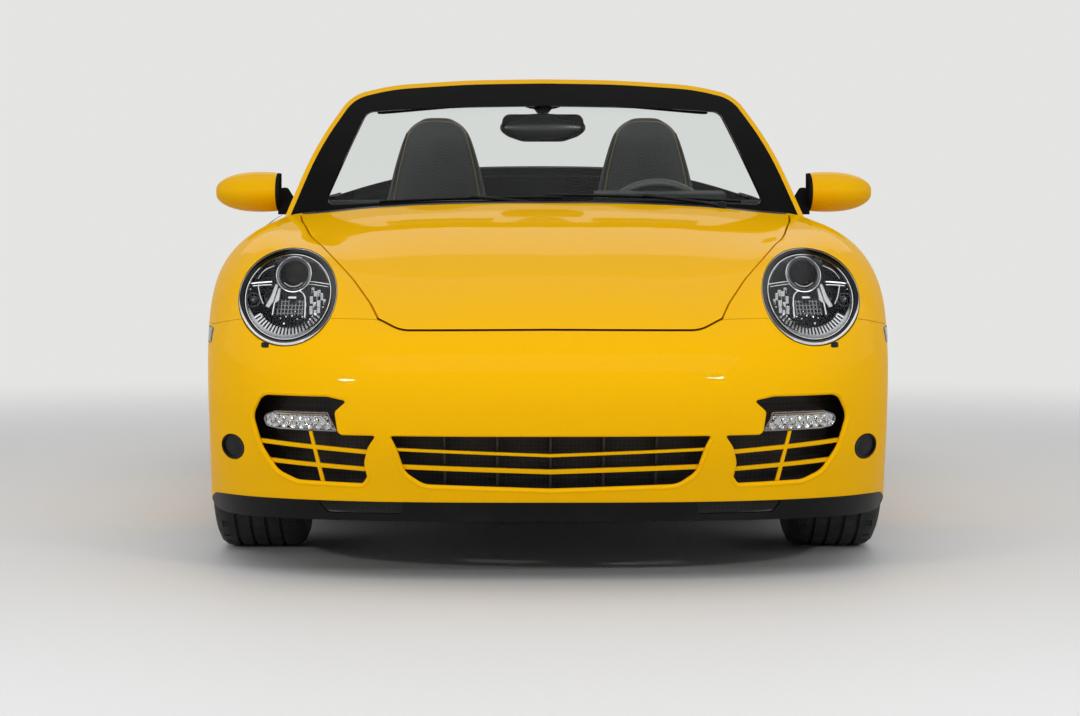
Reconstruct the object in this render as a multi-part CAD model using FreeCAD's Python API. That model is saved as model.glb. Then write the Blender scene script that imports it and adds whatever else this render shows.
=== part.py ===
"""Two-door open sports car, standing on its four wheels with its roof folded away.

The row frame: +Z up, the nose points along -Y, the driver's side is +X, and the origin is on the floor
under the middle of the car's box. All sizes are millimetres.

Lengthwise places are written as stations, in mm behind the nose as the body lines were drawn. along()
turns a station into Y, and stretches the drawing with the wheelbase and the overhangs.
"""

import FreeCAD
import Part

import math
import os

V = FreeCAD.Vector

# Overall sizes of the real car
WHEELBASE = 2350.0
FRONT_OVERHANG = 935.0
REAR_OVERHANG = 1165.0
BODY_WIDTH = 1852.0

# The sizes at which the body lines below are drawn
DRAWN_WHEELBASE = 2350.0
DRAWN_FRONT_OVERHANG = 935.0
DRAWN_REAR_OVERHANG = 1165.0
DRAWN_WIDTH = 1852.0

# Panels
SKIN = 26.0            # fenders, bumpers and quarters
DOOR_THICKNESS = 92.0  # outer skin to inner trim
LID_THICKNESS = 26.0
PANEL_GAP = 5.0        # shut lines round what opens
SEAM = 0.6             # joints between fixed panels
SEAT_CLEARANCE = 0.3   # between a panel and what carries it

# Wheels and tyres
FRONT_TYRE_RADIUS = 323.5
FRONT_TYRE_WIDTH = 232.0
REAR_TYRE_RADIUS = 333.0
REAR_TYRE_WIDTH = 280.0
RIM_RADIUS = 241.0
FRONT_TRACK = 1490.0
REAR_TRACK = 1540.0
FRONT_ARCH_RADIUS = 362.0
REAR_ARCH_RADIUS = 371.0

LENGTH = FRONT_OVERHANG + WHEELBASE + REAR_OVERHANG
NOSE_Y = -LENGTH / 2
FRONT_AXLE_Y = NOSE_Y + FRONT_OVERHANG
REAR_AXLE_Y = FRONT_AXLE_Y + WHEELBASE
DRAWN_FRONT_AXLE = DRAWN_FRONT_OVERHANG
DRAWN_REAR_AXLE = DRAWN_FRONT_OVERHANG + DRAWN_WHEELBASE


def along(station):
    """Y of a drawn station: the overhangs and the wheelbase stretch by themselves."""
    if station < DRAWN_FRONT_AXLE:
        return FRONT_AXLE_Y + (station - DRAWN_FRONT_AXLE) * FRONT_OVERHANG / DRAWN_FRONT_OVERHANG
    if station > DRAWN_REAR_AXLE:
        return REAR_AXLE_Y + (station - DRAWN_REAR_AXLE) * REAR_OVERHANG / DRAWN_REAR_OVERHANG
    return FRONT_AXLE_Y + (station - DRAWN_FRONT_AXLE) * WHEELBASE / DRAWN_WHEELBASE


def across(x):
    return x * BODY_WIDTH / DRAWN_WIDTH


# Body lines. Each row is one band of the half body, from the centre line out over the fender crest and
# down to the bottom edge. A point is (x, station, z) and lies on the skin. The first rows climb the
# front bumper from its bottom edge, and the last ones go down the rear bumper, so that the crowded
# corners of the net fall in the wheel openings.
BODY_ROWS = [
    # bottom of the lip
    [(0, 112, 152), (150, 113, 152), (300, 122, 152), (450, 147, 151), (570, 190, 150), (658, 244, 148),
     (726, 310, 145), (775, 384, 143), (808, 458, 142), (830, 532, 142), (846, 600, 146)],
    # seam of the lip
    [(0, 97, 206), (150, 98, 206), (300, 107, 206), (450, 133, 206), (574, 175, 206), (665, 230, 205),
     (735, 299, 203), (786, 376, 200), (818, 455, 194), (838, 536, 184), (855, 624, 160)],
    [(0, 48, 290), (150, 50, 290), (300, 61, 290), (450, 91, 289), (579, 137, 288), (674, 196, 287),
     (746, 267, 285), (799, 350, 282), (830, 441, 273), (847, 547, 248), (862, 682, 162)],
    [(0, 12, 380), (150, 14, 380), (300, 26, 380), (450, 57, 380), (583, 106, 380), (681, 168, 379),
     (756, 246, 376), (810, 338, 369), (836, 445, 352), (853, 576, 306), (867, 753, 163)],
    [(0, 0, 470), (150, 2, 470), (300, 14, 470), (450, 46, 470), (587, 97, 470), (686, 161, 470),
     (763, 243, 466), (818, 345, 456), (842, 469, 429), (860, 627, 356), (871, 831, 164)],
    [(0, 24, 550), (150, 27, 550), (300, 39, 550), (450, 72, 550), (590, 122, 552), (692, 186, 553),
     (769, 270, 549), (824, 380, 534), (849, 518, 494), (868, 697, 400), (875, 909, 164)],
    [(0, 90, 612), (150, 93, 612), (300, 105, 612), (448, 139, 615), (592, 182, 628), (698, 243, 634),
     (776, 328, 624), (830, 444, 597), (857, 594, 543), (877, 775, 431), (879, 986, 164)],
    [(0, 240, 690), (150, 242, 689), (298, 252, 684), (446, 283, 687), (595, 296, 713), (704, 336, 718),
     (782, 416, 698), (837, 527, 652), (865, 678, 582), (886, 857, 452), (882, 1065, 164)],
    [(0, 470, 765), (150, 472, 764), (300, 478, 759), (456, 488, 758), (598, 480, 784), (708, 494, 788),
     (787, 550, 757), (843, 642, 697), (873, 777, 608), (892, 942, 464), (884, 1147, 164)],
    [(0, 720, 822), (152, 721, 821), (304, 724, 817), (466, 728, 809), (606, 720, 814), (710, 724, 830),
     (790, 763, 800), (849, 831, 735), (882, 923, 641), (898, 1062, 477), (885, 1238, 164)],
    [(0, 970, 865), (155, 970, 864), (310, 971, 860), (478, 972, 849), (618, 965, 844), (716, 969, 852),
     (796, 988, 815), (855, 1022, 743), (887, 1088, 644), (900, 1192, 477), (884, 1337, 163)],
    [(0, 1220, 896), (158, 1220, 895), (318, 1220, 890), (495, 1220, 879), (632, 1220, 866),
     (722, 1220, 862), (798, 1228, 825), (852, 1246, 745), (882, 1278, 635), (893, 1346, 468),
     (876, 1447, 163)],
    [(0, 1480, 916), (160, 1480, 915), (326, 1480, 910), (508, 1480, 898), (645, 1480, 883),
     (728, 1480, 872), (796, 1482, 832), (846, 1489, 748), (873, 1502, 632), (884, 1532, 462),
     (866, 1581, 163)],
    [(0, 1780, 930), (163, 1780, 929), (334, 1780, 923), (520, 1780, 910), (656, 1780, 893),
     (732, 1780, 878), (795, 1780, 836), (842, 1780, 748), (868, 1782, 625), (876, 1790, 450),
     (858, 1800, 163)],
    [(0, 2120, 953), (165, 2120, 952), (338, 2120, 944), (526, 2120, 926), (662, 2120, 903),
     (736, 2120, 884), (797, 2120, 840), (842, 2120, 750), (867, 2120, 622), (873, 2120, 445),
     (854, 2120, 163)],
    [(0, 2460, 986), (165, 2460, 985), (340, 2460, 976), (535, 2460, 951), (668, 2460, 918),
     (744, 2460, 893), (808, 2460, 846), (852, 2460, 753), (875, 2460, 624), (877, 2458, 446),
     (856, 2450, 163)],
    [(0, 2780, 1023), (165, 2780, 1022), (342, 2780, 1011), (540, 2780, 976), (675, 2780, 937),
     (755, 2780, 908), (826, 2775, 856), (872, 2768, 757), (893, 2750, 630), (891, 2715, 450),
     (866, 2680, 164)],
    [(0, 3040, 1042), (165, 3040, 1040), (342, 3040, 1028), (538, 3040, 988), (676, 3040, 948),
     (766, 3036, 920), (846, 3026, 868), (897, 3005, 775), (913, 2965, 640), (905, 2890, 458),
     (878, 2810, 165)],
    [(0, 3280, 1028), (163, 3280, 1026), (335, 3280, 1014), (528, 3280, 973), (674, 3278, 944),
     (774, 3275, 928), (860, 3262, 882), (911, 3235, 788), (923, 3180, 654), (913, 3065, 467),
     (886, 2950, 167)],
    [(0, 3510, 980), (160, 3510, 978), (325, 3510, 967), (512, 3510, 930), (662, 3508, 916),
     (768, 3503, 912), (860, 3488, 878), (914, 3455, 792), (926, 3385, 664), (918, 3250, 477),
     (891, 3100, 169)],
    [(0, 3730, 925), (157, 3730, 923), (315, 3730, 913), (495, 3730, 885), (645, 3725, 880),
     (755, 3718, 884), (852, 3700, 858), (910, 3660, 780), (925, 3575, 661), (921, 3420, 481),
     (894, 3250, 171)],
    [(0, 3930, 868), (154, 3930, 867), (305, 3930, 859), (478, 3928, 842), (625, 3922, 842),
     (738, 3910, 842), (836, 3888, 820), (899, 3840, 752), (919, 3745, 644), (921, 3570, 477),
     (897, 3370, 173)],
    [(0, 4100, 808), (150, 4100, 807), (297, 4098, 802), (462, 4093, 795), (605, 4082, 796),
     (718, 4062, 793), (816, 4030, 770), (881, 3970, 708), (909, 3870, 611), (918, 3690, 462),
     (900, 3455, 175)],
    [(0, 4240, 742), (148, 4240, 741), (291, 4236, 738), (450, 4226, 735), (588, 4205, 735),
     (698, 4175, 730), (794, 4128, 708), (862, 4055, 655), (898, 3945, 569), (913, 3770, 437),
     (902, 3510, 176)],
    [(0, 4345, 668), (148, 4344, 668), (289, 4338, 666), (443, 4322, 664), (577, 4292, 662),
     (686, 4248, 657), (782, 4185, 638), (851, 4097, 592), (892, 3980, 519), (910, 3815, 409),
     (904, 3545, 178)],
    [(0, 4412, 585), (148, 4411, 585), (288, 4403, 584), (440, 4383, 582), (572, 4346, 580),
     (680, 4292, 575), (775, 4217, 560), (846, 4118, 525), (888, 3997, 466), (907, 3838, 378),
     (904, 3565, 180)],
    [(0, 4446, 495), (148, 4444, 495), (288, 4435, 495), (440, 4412, 494), (571, 4371, 492),
     (678, 4311, 489), (772, 4228, 478), (842, 4123, 454), (885, 4000, 412), (905, 3848, 344),
     (904, 3577, 182)],
    [(0, 4450, 405), (148, 4448, 405), (288, 4438, 405), (440, 4414, 405), (570, 4372, 404),
     (676, 4311, 402), (768, 4226, 396), (838, 4120, 382), (881, 3996, 355), (902, 3848, 308),
     (903, 3585, 184)],
    [(0, 4430, 318), (148, 4428, 318), (287, 4418, 318), (438, 4394, 318), (566, 4353, 318),
     (671, 4293, 317), (761, 4209, 315), (830, 4104, 307), (875, 3983, 295), (898, 3842, 268),
     (902, 3591, 186)],
    # bottom of the rear valance
    [(0, 4372, 205), (147, 4370, 205), (285, 4361, 205), (433, 4338, 205), (559, 4298, 205),
     (661, 4240, 204), (749, 4158, 204), (818, 4058, 203), (864, 3943, 201), (890, 3820, 197),
     (900, 3598, 189)],
]
HALF_LINES = len(BODY_ROWS[0])
DEGREE = 3


def mirrored_grid():
    """The whole net, from the right-hand bottom edge over the roof side to the left one."""
    grid = []
    for row in BODY_ROWS:
        half = [V(across(x), along(s), z) for x, s, z in row]
        grid.append([V(-p.x, p.y, p.z) for p in reversed(half[1:])] + half)
    return grid


def drawn_in(points, rounds=3):
    """Control points whose cubic passes close to the points that were drawn, and stays smooth."""
    rows, columns = len(points), len(points[0])
    poles = [[V(p) for p in row] for row in points]

    def pulled(line):
        inner = [(line[i - 1] + line[i] * 4 + line[i + 1]) * (1 / 6) for i in range(1, len(line) - 1)]
        return [line[0]] + inner + [line[-1]]

    for _ in range(rounds):
        by_row = [pulled(row) for row in poles]
        on_skin = list(zip(*[pulled(list(column)) for column in zip(*by_row)]))
        for i in range(rows):
            for j in range(columns):
                poles[i][j] = poles[i][j] + (points[i][j] - on_skin[i][j])
    return poles


def pole_normals(poles):
    """Outward unit normals of the net at its control points. The hem takes its neighbour's normal, because
    its own points crowd together in the wheel openings."""
    rows, columns = len(poles), len(poles[0])
    normals = []
    for i in range(rows):
        line = []
        for j in range(columns):
            up = poles[min(i + 1, rows - 1)][j] - poles[max(i - 1, 0)][j]
            side = poles[i][min(j + 1, columns - 1)] - poles[i][max(j - 1, 0)]
            line.append(side.cross(up).normalize())
        normals.append([V(line[1])] + line[1:-1] + [V(line[-2])])
    return normals


def cubic_surface(poles):
    rows, columns = len(poles), len(poles[0])

    def knots(count):
        spans = count - DEGREE
        return [i / spans for i in range(spans + 1)], [DEGREE + 1] + [1] * (spans - 1) + [DEGREE + 1]

    u_knots, u_mults = knots(rows)
    v_knots, v_mults = knots(columns)
    surface = Part.BSplineSurface()
    surface.buildFromPolesMultsKnots(poles, u_mults, v_mults, u_knots, v_knots, False, False, DEGREE, DEGREE)
    return surface


BODY_POLES = drawn_in(mirrored_grid())
BODY_NORMALS = pole_normals(BODY_POLES)
ROWS = len(BODY_ROWS)
LAST_LINE = HALF_LINES - 1


def row_place(row):
    """Where a row of the drawing lies in the surface's first parameter."""
    spans = ROWS - DEGREE
    return min(max(row - 1, 1 / 3 if row > 0 else 0), spans - (1 / 3 if row < ROWS - 1 else 0)) / spans


def line_place(line):
    """The same for the lines, which count outwards from 0 on the centre line, to the left above zero."""
    return min(max(0.5 + line / (2 * LAST_LINE + 1 - DEGREE), 0.0), 1.0)


def skin_at(depth):
    """The body surface, moved inwards by depth."""
    return cubic_surface([[p - n * depth for p, n in zip(row, normals)]
                          for row, normals in zip(BODY_POLES, BODY_NORMALS)])


def closed_solid(faces):
    shell = Part.makeShell(faces)
    shell.sewShape(0.01)
    solid = Part.Solid(shell)
    if solid.Volume < 0:
        solid.reverse()
    return solid


def sheet(thickness, first_row, last_row, first_line=-LAST_LINE, last_line=LAST_LINE, depth=0.0):
    """The body's skin as a solid of one thickness, over a range of rows and lines."""
    rows = (row_place(first_row), row_place(last_row))
    lines = (line_place(first_line), line_place(last_line))
    skins = [skin_at(depth), skin_at(depth + thickness)]
    for skin in skins:
        skin.segment(rows[0], rows[1], lines[0], lines[1])
    faces = [skin.toShape() for skin in skins]
    for iso, ends in (("uIso", rows), ("vIso", lines)):
        for place in ends:
            edges = [getattr(skin, iso)(place).toShape() for skin in skins]
            faces.append(Part.makeRuledSurface(edges[0], edges[1]))
    return closed_solid(faces)


def inside_of_body(depth, floor_z=60.0):
    """Everything that lies deeper than depth below the skin, down to a flat floor."""
    skin = skin_at(depth)
    faces = [skin.toShape()]
    rim = []
    for curve in (skin.uIso(0.0), skin.vIso(1.0), skin.uIso(1.0), skin.vIso(0.0)):
        below = curve.copy()
        for i, pole in enumerate(curve.getPoles()):
            below.setPole(i + 1, V(pole.x, pole.y, floor_z))
        rim.append(below.toShape())
        faces.append(Part.makeRuledSurface(curve.toShape(), rim[-1]))
    faces.append(Part.Face(Part.Wire(Part.__sortEdges__(rim))))
    return closed_solid(faces)


def wire(points, place):
    """A closed outline. A point is (a, b) for a sharp corner or (a, b, radius) for a round one."""
    corners = []
    count = len(points)
    for i, point in enumerate(points):
        a, b = point[0], point[1]
        radius = point[2] if len(point) > 2 else 0.0
        if radius <= 0:
            corners.append([(a, b)])
            continue
        before, after = points[i - 1], points[(i + 1) % count]
        to_before = (before[0] - a, before[1] - b)
        to_after = (after[0] - a, after[1] - b)
        length_before, length_after = math.hypot(*to_before), math.hypot(*to_after)
        d1 = (to_before[0] / length_before, to_before[1] / length_before)
        d2 = (to_after[0] / length_after, to_after[1] / length_after)
        half = math.acos(max(-1.0, min(1.0, d1[0] * d2[0] + d1[1] * d2[1]))) / 2
        run = radius / math.tan(half)
        shortest = 0.49 * min(length_before, length_after)
        if run > shortest:
            run = shortest
            radius = run * math.tan(half)
        bisector = (d1[0] + d2[0], d1[1] + d2[1])
        size = math.hypot(*bisector)
        reach = radius / math.sin(half) - radius
        middle = (a + bisector[0] / size * reach, b + bisector[1] / size * reach)
        corners.append([(a + d1[0] * run, b + d1[1] * run), middle, (a + d2[0] * run, b + d2[1] * run)])
    edges = []
    for i, corner in enumerate(corners):
        if len(corner) == 3:
            edges.append(Part.Arc(*[place(*p) for p in corner]).toShape())
        start, end = corner[-1], corners[(i + 1) % count][0]
        if math.hypot(start[0] - end[0], start[1] - end[1]) > 1e-6:
            edges.append(Part.LineSegment(place(*start), place(*end)).toShape())
    return Part.Wire(edges)


def prism(points, place, direction):
    return Part.Face(wire(points, place)).extrude(direction)


def seen_from_front(points, first_station, last_station):
    """An outline of (x, z), carried lengthwise."""
    y = along(first_station)
    return prism(points, lambda x, z: V(across(x), y, z), V(0, along(last_station) - y, 0))


def seen_from_above(points, z_low, z_high):
    """An outline of (x, station), carried upwards."""
    return prism(points, lambda x, s: V(across(x), along(s), z_low), V(0, 0, z_high - z_low))


def seen_from_side(points, x_low, x_high):
    """An outline of (station, z), carried sideways."""
    x = across(x_low)
    return prism(points, lambda s, z: V(x, along(s), z), V(across(x_high) - x, 0, 0))


def mirrored_outline(right_half):
    """Closes an outline drawn from its top on the centre line, round the right side, to its bottom."""
    left_half = [(-p[0],) + tuple(p[1:]) for p in reversed(right_half) if abs(p[0]) > 1e-6]
    return list(right_half) + left_half


def grown(points, gap):
    """The outline moved outwards by gap on every side."""
    count = len(points)
    area = sum(points[i - 1][0] * points[i][1] - points[i][0] * points[i - 1][1] for i in range(count))
    turn = 1 if area > 0 else -1
    moved = []
    for i in range(count):
        a, b, c = points[i - 1], points[i], points[(i + 1) % count]
        d1, d2 = (b[0] - a[0], b[1] - a[1]), (c[0] - b[0], c[1] - b[1])
        l1, l2 = math.hypot(*d1), math.hypot(*d2)
        n1 = (turn * d1[1] / l1, -turn * d1[0] / l1)
        n2 = (turn * d2[1] / l2, -turn * d2[0] / l2)
        share = gap / (1 + n1[0] * n2[0] + n1[1] * n2[1])
        place = (b[0] + (n1[0] + n2[0]) * share, b[1] + (n1[1] + n2[1]) * share)
        radius = b[2] if len(b) > 2 else 0.0
        if radius > 0:
            convex = turn * (d1[0] * d2[1] - d1[1] * d2[0]) > 0
            radius = max(radius + gap if convex else radius - gap, 1.0)
        moved.append((place[0], place[1], radius))
    return moved


def box(x_low, x_high, s_low, s_high, z_low, z_high):
    x, y = across(x_low), along(s_low)
    return Part.makeBox(across(x_high) - x, along(s_high) - y, z_high - z_low, V(x, y, z_low))


def rod(radius, start, end):
    """A round bar between two points of the row frame."""
    return Part.makeCylinder(radius, (end - start).Length, start, end - start)


def mirrored(shape):
    return shape.mirror(V(0, 0, 0), V(1, 0, 0))


def both(shape):
    return [shape, mirrored(shape)]


def without(shape, *tools):
    flat = []
    for tool in tools:
        flat.extend(tool if isinstance(tool, (list, tuple)) else [tool])
    return shape.cut(flat)


def joined(*shapes):
    return shapes[0].fuse(list(shapes[1:])).removeSplitter()


PARTS = {}


def sub_part(name, shape, keep=1):
    """Files a sub-part, leaving out crumbs of a cut. keep is the number of separate solids it has."""
    solids = sorted(shape.Solids, key=lambda s: -s.Volume)[:keep]
    PARTS[name] = solids[0] if keep == 1 else Part.makeCompound(solids)


# Outlines of the openings and shut lines

HEADLAMP_X = 632.0
HEADLAMP_Z = 678.0
HEADLAMP_HALF_WIDTH = 122.0
HEADLAMP_HALF_HEIGHT = 114.0
HEADLAMP_BACK = 500.0

# Seen from the front: top edge of the bumper, under the hood, past the headlamp and out to the arch
BUMPER_TOP = [(0, 603), (352, 601, 90), (408, 627, 60), (530, 629, 400), (749, 624, 300), (835, 604, 60), (920, 616)]

# Seen from above: the hood, from its front edge to the cowl
HOOD = mirrored_outline([
    (0, 60), (338, 64, 260), (402, 150, 80), (426, 228, 300), (474, 350, 600), (540, 490, 900), (606, 740, 1200),
    (656, 1090, 1500), (684, 1390, 30), (400, 1362, 1500), (0, 1338)])
COWL = mirrored_outline([(0, 1343.5), (400, 1367.5, 1500), (684, 1396, 30), (688, 1500), (0, 1500)])

# Seen from the side: the door
DOOR = [(1582, 292, 40), (1562, 620, 900), (1562, 1010), (2742, 1010), (2742, 620, 900), (2652, 292, 120)]
DOOR_INNER_X = 690.0
DOOR_PIVOT_X = 874.0
DOOR_PIVOT_STATION = 1632.0
SILL_TOP = 287.0

# Seen from above: the cabin's opening, the roof's lid and the engine lid
CABIN = mirrored_outline([(0, 1495), (690, 1495), (690, 2882, 60), (0, 2882)])
ROOF_LID = mirrored_outline([(0, 2887), (684, 2887, 50), (668, 3120, 700), (566, 3394, 40), (0, 3394)])
ENGINE_LID = mirrored_outline([
    (0, 3399.5), (556, 3399.5, 40), (540, 3700, 900), (470, 4010, 130), (300, 4085, 400), (0, 4112)])

# Seen from behind: the rear bumper's top edge, and the tail lamps
REAR_BUMPER_TOP = [(0, 1000), (474, 1000), (474, 650), (700, 652, 400), (960, 560)]
TAIL_LAMP = [(480, 752, 12), (480, 668, 20), (690, 662, 300), (850, 672, 60), (905, 716, 25), (850, 752, 60),
             (690, 764, 300)]

# Openings in the front bumper, seen from the front, right half
CENTRE_OPENING = mirrored_outline([
    (0, 366), (384, 366, 10), (366, 330, 100), (346, 268, 50), (300, 236, 60), (0, 226)])
OUTER_OPENING = [
    (492, 366, 8), (498, 412, 6), (462, 444, 10), (520, 456, 60), (684, 456, 34), (712, 400, 50), (690, 322, 90),
    (650, 262, 60), (600, 240, 60), (438, 236, 16), (424, 258, 12), (431, 292, 40), (422, 328, 40), (396, 366, 10)]
DAYTIME_LAMP = [(500, 367, 3), (522, 412, 3), (648, 412, 10), (682, 398, 14), (672, 374, 10), (640, 369, 20)]
FOG_LAMP_X = 764.0
FOG_LAMP_Z = 316.0
FOG_LAMP_RADIUS = 32.0


def arch(axle_y, radius, axle_z, x_low=400.0, x_high=1100.0):
    start = V(x_low, axle_y, axle_z)
    return Part.makeCylinder(radius, x_high - x_low, start, V(1, 0, 0))


FRONT_ARCHES = both(arch(FRONT_AXLE_Y, FRONT_ARCH_RADIUS, FRONT_TYRE_RADIUS))
REAR_ARCHES = both(arch(REAR_AXLE_Y, REAR_ARCH_RADIUS, REAR_TYRE_RADIUS))


def headlamp_bore(grow=0.0, last_station=700.0):
    """The oval column that the left headlamp's ring bounds, seen from the front."""
    middle = V(across(HEADLAMP_X), along(-100), HEADLAMP_Z)
    ring = Part.Ellipse(middle + V(HEADLAMP_HALF_WIDTH + grow, 0, 0), middle + V(0, 0, HEADLAMP_HALF_HEIGHT + grow),
                        middle)
    return Part.Face(Part.Wire(ring.toShape())).extrude(V(0, along(last_station) - middle.y, 0))


def bumper_region(grow=0.0):
    """All that lies below the front bumper's top edge and ahead of the axle."""
    top = [(p[0], p[1] + grow) + tuple(p[2:]) for p in BUMPER_TOP]
    outline = [(0, top[0][1])] + top[1:] + [(top[-1][0], 0.0), (-top[-1][0], 0.0)]
    outline += [(-p[0],) + tuple(p[1:]) for p in reversed(top[1:])]
    return seen_from_front(outline, -120, DRAWN_FRONT_AXLE)


def rear_bumper_region(grow=0.0):
    """All that lies below the rear bumper's top edge and behind the rear axle."""
    top = [(p[0] + (grow if p[0] == 474 else 0.0), p[1] + grow) + tuple(p[2:]) for p in REAR_BUMPER_TOP]
    outline = top + [(top[-1][0], 0.0), (-top[-1][0], 0.0)]
    outline += [(-p[0],) + tuple(p[1:]) for p in reversed(top[1:])]
    return seen_from_front(outline, DRAWN_REAR_AXLE, 4700)


def front_slats():
    """Yellow bars across the openings: two in the middle one and two, with a rib, in each outer one."""
    bars = []
    for z_middle, z_side, height in ((313, 327, 7), (273, 285, 11)):
        bar = mirrored_outline([(0, z_middle + height / 2), (372, z_side + height / 2, 2),
                                (372, z_side - height / 2, 2), (0, z_middle - height / 2)])
        bars.append(seen_from_front(bar, -100, 400))
    for z_inner, z_outer in ((318, 338), (276, 293)):
        bar = seen_from_front([(415, z_inner - 5), (415, z_inner + 5), (700, z_outer + 5), (700, z_outer - 5)],
                              -100, 500)
        bars.extend(both(bar))
    rib = seen_from_front([(530, 230), (560, 366), (568, 366), (540, 230)], -100, 500)
    bars.extend(both(rib))
    return bars


def front_bumper():
    skin = sheet(SKIN, 1, 8).common(bumper_region())
    openings = [seen_from_front(CENTRE_OPENING, -100, 420)]
    openings.extend(both(seen_from_front(OUTER_OPENING, -100, 520)))
    fog_lamps = both(rod(FOG_LAMP_RADIUS, V(across(FOG_LAMP_X), along(0), FOG_LAMP_Z),
                         V(across(FOG_LAMP_X), along(600), FOG_LAMP_Z)))
    slat_skin = sheet(14.0, 1, 4, depth=10.0)
    slats = [slat_skin.common(bar) for bar in front_slats()]
    shell = without(skin, FRONT_ARCHES, openings, both(headlamp_bore(SEAM)), fog_lamps)
    return joined(shell, *slats)


def front_lip():
    vents = both(seen_from_front([(352, 168, 8), (345, 206, 6), (560, 206, 12), (530, 168, 20)], -100, 420))
    skin = without(sheet(SKIN, 0, 1), FRONT_ARCHES, vents)
    behind_axle = box(-1000, 1000, DRAWN_FRONT_AXLE, 2000, 0, 500)
    return without(skin, behind_axle)


def front_grilles():
    """Dark backing of the openings, fog lamps and lip vents: one deep band behind the bumper."""
    band = sheet(16.0, 0, 5, -8, 8, depth=78.0)
    ribs = []
    for x in (-248, -124, 0, 124, 248):
        ribs.append(seen_from_front([(x - 3, 215), (x + 3, 215), (x + 3, 372), (x - 3, 372)], -100, 300))
    rib_skin = sheet(52.0, 1, 4, -7, 7, depth=SKIN + SEAT_CLEARANCE)
    fins = [rib_skin.common(rib) for rib in ribs]
    ledge = sheet(52.0, 3, 4, -8, 8, depth=SKIN + SEAT_CLEARANCE).common(
        box(-800, 800, -100, 600, 458, 470))
    return without(joined(band, ledge, *fins), FRONT_ARCHES)


def fender():
    """The left front fender, from the headlamp to the door."""
    skin = sheet(SKIN, 3, 13, 2, LAST_LINE)
    door_edge = [(p[0], p[1]) + tuple(p[2:]) for p in grown(DOOR, PANEL_GAP)]
    below_sill = box(0, 1100, DRAWN_FRONT_AXLE, 2500, 0, SILL_TOP + SEAM)
    behind_door_line = box(0, 1100, 1640, 2500, 0, 1300)
    cabin = seen_from_above(CABIN, 0, 1400)
    return without(skin, seen_from_above(grown(HOOD, PANEL_GAP), 300, 1300), seen_from_above(COWL, 300, 1300),
                   bumper_region(SEAM), seen_from_side(door_edge, 300, 1100), below_sill, behind_door_line, cabin,
                   headlamp_bore(SEAM), FRONT_ARCHES)


def hood():
    skin = sheet(LID_THICKNESS, 4, 13, -8, 8)
    region = seen_from_above(HOOD, 300, 1300)
    return without(skin.common(region), bumper_region(PANEL_GAP))


DOOR_HANDLE = [(2540, 778, 11), (2540, 804, 11), (2700, 812, 11), (2700, 786, 11)]
HANDLE_POCKET = [(2575, 762, 20), (2575, 822, 20), (2668, 826, 20), (2668, 766, 20)]
HANDLE_PROUD = 13.0


def door():
    """The left door with its handle, arm rest and mirror."""
    skin = sheet(DOOR_THICKNESS, 11, 17, 5, LAST_LINE)
    panel = skin.common(seen_from_side(DOOR, DOOR_INNER_X, 1000))
    pocket = sheet(HANDLE_PROUD, 14, 17, 5, 9).common(seen_from_side(HANDLE_POCKET, DOOR_INNER_X, 1000))
    handle = sheet(HANDLE_PROUD, 14, 17, 5, 9, depth=-HANDLE_PROUD + 3).common(
        seen_from_side(DOOR_HANDLE, DOOR_INNER_X, 1000))
    arm_rest = seen_from_side([(1930, 560, 20), (1930, 640, 30), (2200, 655, 60), (2520, 650, 40), (2520, 590, 20)],
                              668, 800)
    return joined(without(panel, pocket), handle, arm_rest, door_mirror())


MIRROR_BACK = 1722.0
# Sections of the mirror pod, outwards: x, half length, half height
MIRROR_SECTIONS = [(768, 112, 54), (812, 122, 58), (862, 118, 57), (904, 100, 50), (936, 72, 37), (956, 36, 19)]
MIRROR_Z = 942.0


def door_mirror():
    """The mirror pod, drawn out to a round end and flat towards the driver, on a short stalk on the door."""
    wires = []
    for x, half_length, half_height in MIRROR_SECTIONS:
        middle = V(across(x), along(MIRROR_BACK), MIRROR_Z)
        ring = Part.Ellipse(middle - V(0, half_length, 0), middle + V(0, 0, half_height), middle)
        wires.append(Part.Wire(ring.toShape()))
    pod = Part.makeLoft(wires, True)
    front_half = box(700, 1000, 1500, MIRROR_BACK, 800, 1100)
    stalk = seen_from_front([(716, 876), (774, 876), (774, 950, 10), (750, 956, 10), (728, 920, 10)], 1664, 1714)
    return joined(pod.common(front_half), stalk)


# Seen from the side: the air intake ahead of the rear wheel
SIDE_INTAKE = [(2792, 440, 30), (2822, 640, 26), (2900, 606, 36), (2878, 428, 26)]


def quarter():
    """The left rear quarter and the sill ahead of it."""
    skin = sheet(SKIN, 10, 28, 2, LAST_LINE)
    above_sill_ahead = box(0, 1100, 900, 1640, SILL_TOP, 1300)
    door_hole = seen_from_side(grown(DOOR, PANEL_GAP), 300, 1100)
    shape = without(skin, above_sill_ahead, door_hole, FRONT_ARCHES, REAR_ARCHES,
                    seen_from_above(CABIN, 500, 1400), seen_from_above(grown(ROOF_LID, PANEL_GAP), 500, 1400),
                    seen_from_above(grown(ENGINE_LID, PANEL_GAP), 500, 1400), rear_bumper_region(SEAM),
                    seen_from_front(grown(TAIL_LAMP, SEAM), 3600, 4700), seen_from_side(SIDE_INTAKE, 700, 1100),
                    box(0, 1100, 0, DRAWN_FRONT_AXLE, 0, 1300))
    pivot = rod(9.0, V(across(DOOR_PIVOT_X), along(DOOR_PIVOT_STATION), SILL_TOP - 8),
                V(across(DOOR_PIVOT_X), along(DOOR_PIVOT_STATION), DOOR[0][1] - SEAT_CLEARANCE))
    return joined(shape, pivot)


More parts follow.
